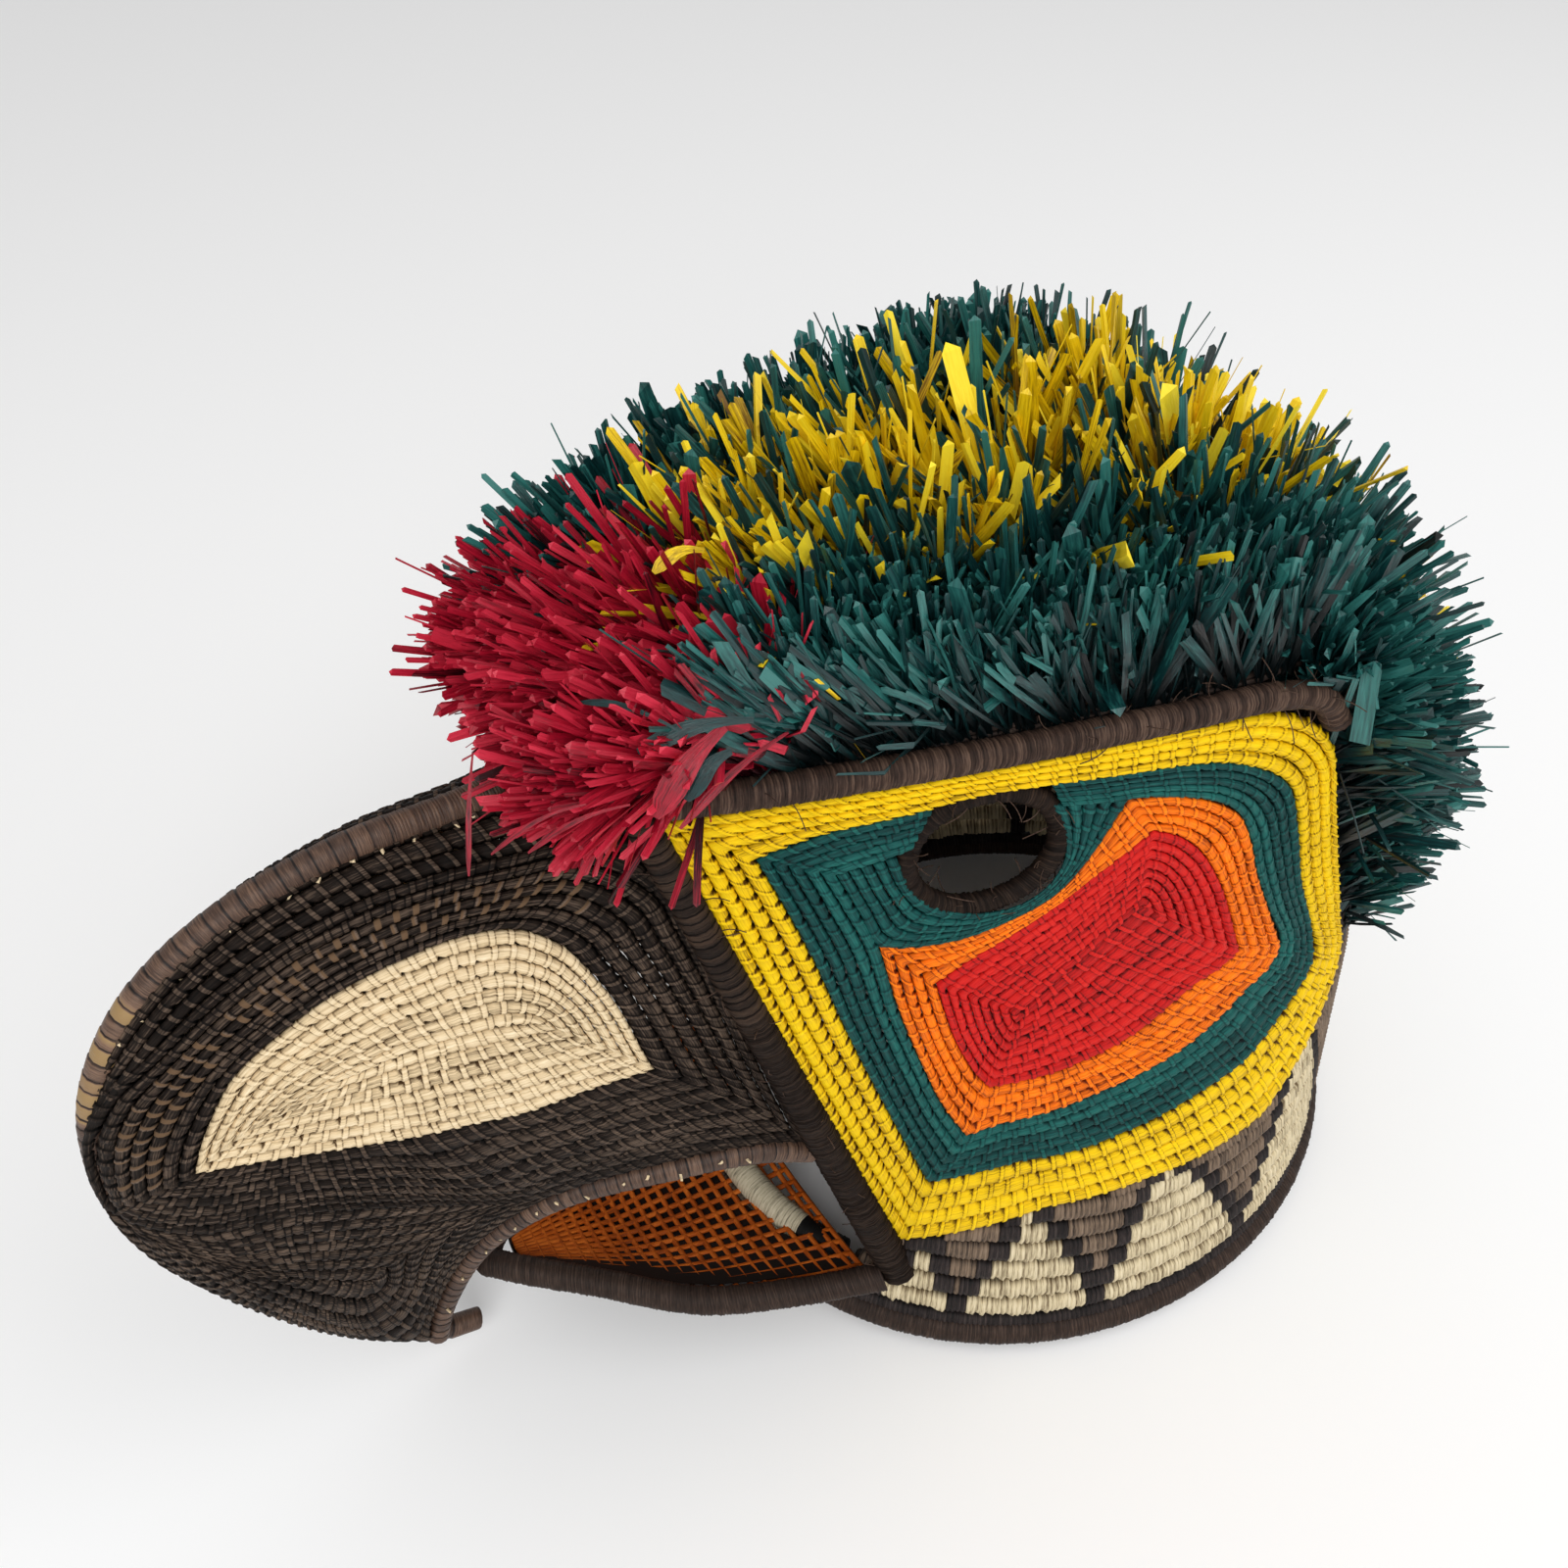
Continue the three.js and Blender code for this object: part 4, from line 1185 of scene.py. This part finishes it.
def strip_lines(tuft, s, w, tufts, hair, cut, drift):
    """The middle of each strip at four places from root to tip. Each leans and curls a little."""
    count = len(tuft)
    root, reach = brush_reach(s, w)
    size = np.linalg.norm(reach, axis=1, keepdims=True)
    tuft_stray = dice.normal(0, 0.75, (tufts, 3))[tuft]
    own_stray = dice.normal(0, 0.65, (count, 3)) * np.where(hair, 2.0, 1.0)
    stray = (tuft_stray + own_stray) * drift
    over_roll = (np.abs(w) > 0.55) & (s < 0.55)
    outward = np.sign(w) * stray[:, 1]
    stray[:, 1] = np.where(over_roll & (outward > 0), 0.15 * stray[:, 1], stray[:, 1])
    stray[:, 2] = np.where(over_roll, np.abs(stray[:, 2]), stray[:, 2])
    direction = unit(reach / size + stray + sway(root) * 0.08)
    length = size * dice.uniform(*cut, (count, 1)) * dice.uniform(0.86, 1.06, (tufts, 1))[tuft]
    curl = length * np.where(hair, 0.45, 0.13) * dice.uniform(-1, 1, (count, 1))
    bend = unit(np.cross(direction, dice.normal(0, 1, (count, 3)))) * curl
    bend[:, 1] = np.where(over_roll & (np.sign(w) * bend[:, 1] > 0), 0.0, bend[:, 1])
    bend[:, 2] = np.where(over_roll, np.abs(bend[:, 2]), bend[:, 2])
    straight = direction[:, None] * length[:, None] * along_strip
    line = root[:, None] + straight + bend[:, None] * along_strip ** 2
    hold_over_roll(line)
    return line


def strip_rings(line, hair, width):
    """Three points round each place of each strip, folded along the middle and twisted."""
    count = len(line)
    tangent = unit(np.gradient(line, axis=1))
    across = unit(np.cross(tangent, unit(dice.normal(0, 1, (count, 3)))[:, None]))
    thin = np.cross(tangent, across)
    twist = dice.uniform(-1.1, 1.1, (count, 1, 1)) * along_strip
    turned = across * np.cos(twist) + thin * np.sin(twist)
    thin = thin * np.cos(twist) - across * np.sin(twist)
    broad = dice.uniform(*width, (count, 1)) * np.where(dice.random((count, 1)) < 0.07, 1.9, 1.0)
    half = np.where(hair, 0.2, broad)[:, None] * strip_taper
    fold = dice.uniform(0.25, 0.85, (count, 1, 1))
    point = tangent * half * np.array([0, 0, 0, 0.8])[None, :, None]
    return np.stack([line - turned * half, line + thin * half * fold + point, line + turned * half], axis=2)


def strip_fibre(tuft, tufts):
    count = len(tuft)
    tone = dice.normal(0, 0.6, (count, 1, 1)) + dice.normal(0, 0.55, (tufts, 1, 1))[tuft]
    start = dice.uniform(0, 300, (count, 1, 1))
    traits = (along_strip * 40 + start, np.array([-1.0, 0, 1.0])[None, None] + start, tone + strip_root_shade)
    return np.stack([np.broadcast_to(trait, (count, 4, 3)) for trait in traits], axis=-1)


def brush(name, finish, record_slot, keep, w_range, count, width, cut=(0.58, 0.9), drift=0.36, second=None):
    """Cut strips that stand on the crown in tufts. A few are loose hairs."""
    pattern = strip_pattern()
    mesh = bmesh.new()
    for _ in range(count):
        mesh.from_mesh(pattern)
    tufts = count // strips_in_tuft
    tuft, s, w = strip_places(keep, w_range, tufts, count)
    hair = (dice.random(count) < hair_share)[:, None]
    line = strip_lines(tuft, s, w, tufts, hair, cut, drift)
    rings = strip_rings(line, hair, width)
    layer = mesh.verts.layers.float_vector.new("fibre")
    shape_verts(mesh.verts, layer, rings, strip_fibre(tuft, tufts))
    finishes = [finish]
    if second is not None:
        finishes.append(second[0])
        faces_each = len(pattern.polygons)
        odd = (dice.random(tufts) < second[1])[tuft]
        for k, face in enumerate(mesh.faces):
            if odd[k // faces_each]:
                face.material_index = 1
    bmesh.ops.recalc_face_normals(mesh, faces=mesh.faces)
    show(name + "_strips", mesh, finishes, record_slot, name)


brush("crest_red", red_strip, "crest_red_strips", is_red, (-0.98, 0.98), 2500, (0.5, 1.05), drift=0.34)
brush("crest_yellow", yellow_strip, "crest_yellow_strips", is_behind_red, (-0.27, 0.27), 2300, (0.55, 1.35),
      cut=(0.64, 0.94), drift=0.33, second=(green_strip, 0.25))
for name, w_range in (("crest_green_left", (-0.98, -0.24)), ("crest_green_right", (0.24, 0.98))):
    brush(name, green_strip, "crest_green_strips", is_behind_red, w_range, 4600, (0.4, 1.1))

# Loose fibre

# Wide leaves and long strands over the forehead: from, to, half width, finish
loose_leaves = [
    ((-108, -37, 222), (-127, -31, 219), 1.7, 1),
    ((-121, -35, 224), (-132, -20, 224), 0.7, 1),
    ((-113, -38, 218), (-122, -38, 211), 2.0, 1),
    ((-113, -36, 222), (-128, -38, 210), 2.6, 0),
    ((-100, -35, 214), (-124, -39, 206), 0.9, 0),
    ((-150, -14, 216), (-158, -26, 201), 0.55, 0),
    ((-138, -33, 214), (-154, -28, 206), 0.5, 0),
    ((-131, -35, 212), (-148, -29, 204), 0.6, 0),
    ((-102, -10, 238), (-112, -10, 237), 1.4, 2),
]
leaf_facing = (0.37, 0.62, -0.69)
leaf_section = [(-1, 0.0), (-0.1, 0.3), (1, 0.0), (0, -0.15), (-1, 0.0)]
# Lightness at each point of the leaf's section: painted light on the raised fold and painted shade at the
# edges and underneath
leaf_light_and_shade = [-0.6, 0.1, -0.5, -0.9, -0.6]


def lay_leaf(piece, start, end, half_width, finish):
    """A flat strip that arches a little and narrows at both ends."""
    start, end = np.array(start, float), np.array(end, float)
    t = np.linspace(0, 1, 9)
    line = start + (end - start) * t[:, None]
    line[:, 2] += np.sin(math.pi * t) * 2.0
    side, face = across_line(line, leaf_facing)
    half = half_width * np.interp(t, [0, 0.3, 0.7, 0.92, 1], [0.3, 0.5, 1.0, 0.75, 0.3])
    points = np.stack([
        line + side * (half * a)[:, None] + face * (half * b)[:, None] for a, b in leaf_section
    ], axis=1)
    tone = np.tile(leaf_light_and_shade, (len(t), 1))
    across = np.array([a for a, b in leaf_section])[None] * half_width + 0 * tone
    fibre = np.stack([t[:, None] * 30 + across * 0, across, tone], axis=-1)
    lay_skin(piece, points, fibre, finish, smooth=False)


def lay_hair(piece, start, direction, length, thick=0.13, finish=0):
    """A thin fibre that has worked loose from a roll, or the short end of a strip."""
    t = np.linspace(0, 1, 6)[:, None]
    bend = unit(np.cross(direction, dice.normal(0, 1, 3))) * length * 0.45
    line = start + direction * length * t + bend * t ** 2
    side, face = across_line(line, (0.3, 0.5, 0.8))
    turn = np.linspace(0, full_turn, 4)
    points = line[:, None] + thick * (side[:, None] * np.cos(turn)[None, :, None]
                                      + face[:, None] * np.sin(turn)[None, :, None])
    tone = 0.4 + 0 * points[..., 0]
    lay_skin(piece, points, np.stack([tone * 0 + t * length, tone * 0, tone], axis=-1), finish)


def strip_ends(piece, line, start, stop, gap, radius, out):
    """Short pale ends of sewing strip that stick out of a roll, from one share of its length to another."""
    travel = travel_along(line)
    out = np.array(out)
    for distance in np.arange(start * travel[-1], stop * travel[-1], gap):
        root = pick(line, travel, distance + dice.uniform(-1.5, 1.5)) + unit(out) * radius
        lay_hair(piece, root, unit(out + dice.normal(0, 0.5, 3)), dice.uniform(1.0, 1.9), 0.38, 1)


def loose_hairs():
    piece = new_piece()
    for line, radius, count in ((eye_centre_line, 2.2, 60), (top_line(), 3.0, 60), (cheek_line(), 3.6, 50)):
        tangent = unit(np.gradient(line, axis=0))
        for place in dice.integers(2, len(line) - 2, count):
            out = unit(np.cross(tangent[place], dice.normal(0, 1, 3)))
            lean = unit(out + tangent[place] * dice.uniform(-1.6, 1.6))
            lay_hair(piece, line[place] + out * radius * 0.9, lean, dice.uniform(2.5, 6.5))
    strip_ends(piece, mouth_line, 0.13, 0.9, 7.5, 2.7, (-0.15, -0.9, 0.45))
    strip_ends(piece, ridge_line, 0.08, 0.4, 6.0, 2.9, (-0.2, -0.95, -0.3))
    mesh = close_piece(piece)
    show("loose_hairs_left", mesh.copy(), [roll_fibre, cream_fibre], "roll_fibre")
    show("loose_hairs_right", add_mirror(mesh), [roll_fibre, cream_fibre], "roll_fibre")
    mesh.free()


def forehead_leaves():
    piece = new_piece()
    for leaf in loose_leaves:
        lay_leaf(piece, *leaf)
    return close_piece(piece)


loose_hairs()
show("forehead_leaves", forehead_leaves(), [red_strip, green_strip, yellow_strip], "crest_red_strips")

# Camera, floor and light


def put_facing(name, data, right, up, back, place):
    """An object at a place, turned by its three axes."""
    thing = put(name, data)
    thing.matrix_world = Matrix([(right[k], up[k], back[k], place[k]) for k in range(3)] + [(0, 0, 0, 1)])
    return thing


def place_camera():
    data = bpy.data.cameras.new("photo_camera")
    data.sensor_width = 36
    data.lens = 32.31
    data.clip_start = 0.01
    right = (0.8572, -0.5150, 0.0)
    up = (0.3578, 0.5954, 0.7193)
    back = (-0.3705, -0.6166, 0.6947)
    place = metres([-195.1, -191.8, 378.5])
    bpy.context.scene.camera = put_facing("photo_camera", data, right, up, back, place)


def lay_floor():
    mesh = bmesh.new()
    bmesh.ops.create_grid(mesh, x_segments=1, y_segments=1, size=4)
    floor = put("floor", mesh_data("floor", mesh))
    finish = bpy.data.materials.new("pale_floor")
    finish.use_nodes = True
    shader = finish.node_tree.nodes["Principled BSDF"]
    shader.inputs["Base Color"].default_value = (0.94, 0.94, 0.94, 1)
    shader.inputs["Roughness"].default_value = 0.9
    floor.data.materials.append(finish)


def area_light(name, place, size, power):
    """A round soft light aimed at the middle of the mask."""
    data = bpy.data.lights.new(name, "AREA")
    data.shape = "DISK"
    data.size = size
    data.energy = power
    start = np.array(place)
    back = unit(start - np.array((0, 0, 0.1)))
    side = unit(np.cross([0, 0, 1.0], back))
    put_facing(name, data, side, np.cross(back, side), back, start)


place_camera()
lay_floor()
area_light("window_light", (-0.7, -1.1, 1.3), 1.2, 16)
area_light("room_light", (0.9, -0.6, 1.1), 1.5, 6)
sky = bpy.data.worlds.new("studio")
sky.use_nodes = True
sky.node_tree.nodes["Background"].inputs["Color"].default_value = (1, 1, 1, 1)
sky.node_tree.nodes["Background"].inputs["Strength"].default_value = 0.62
bpy.context.scene.world = sky
bpy.context.scene.view_settings.view_transform = "Standard"
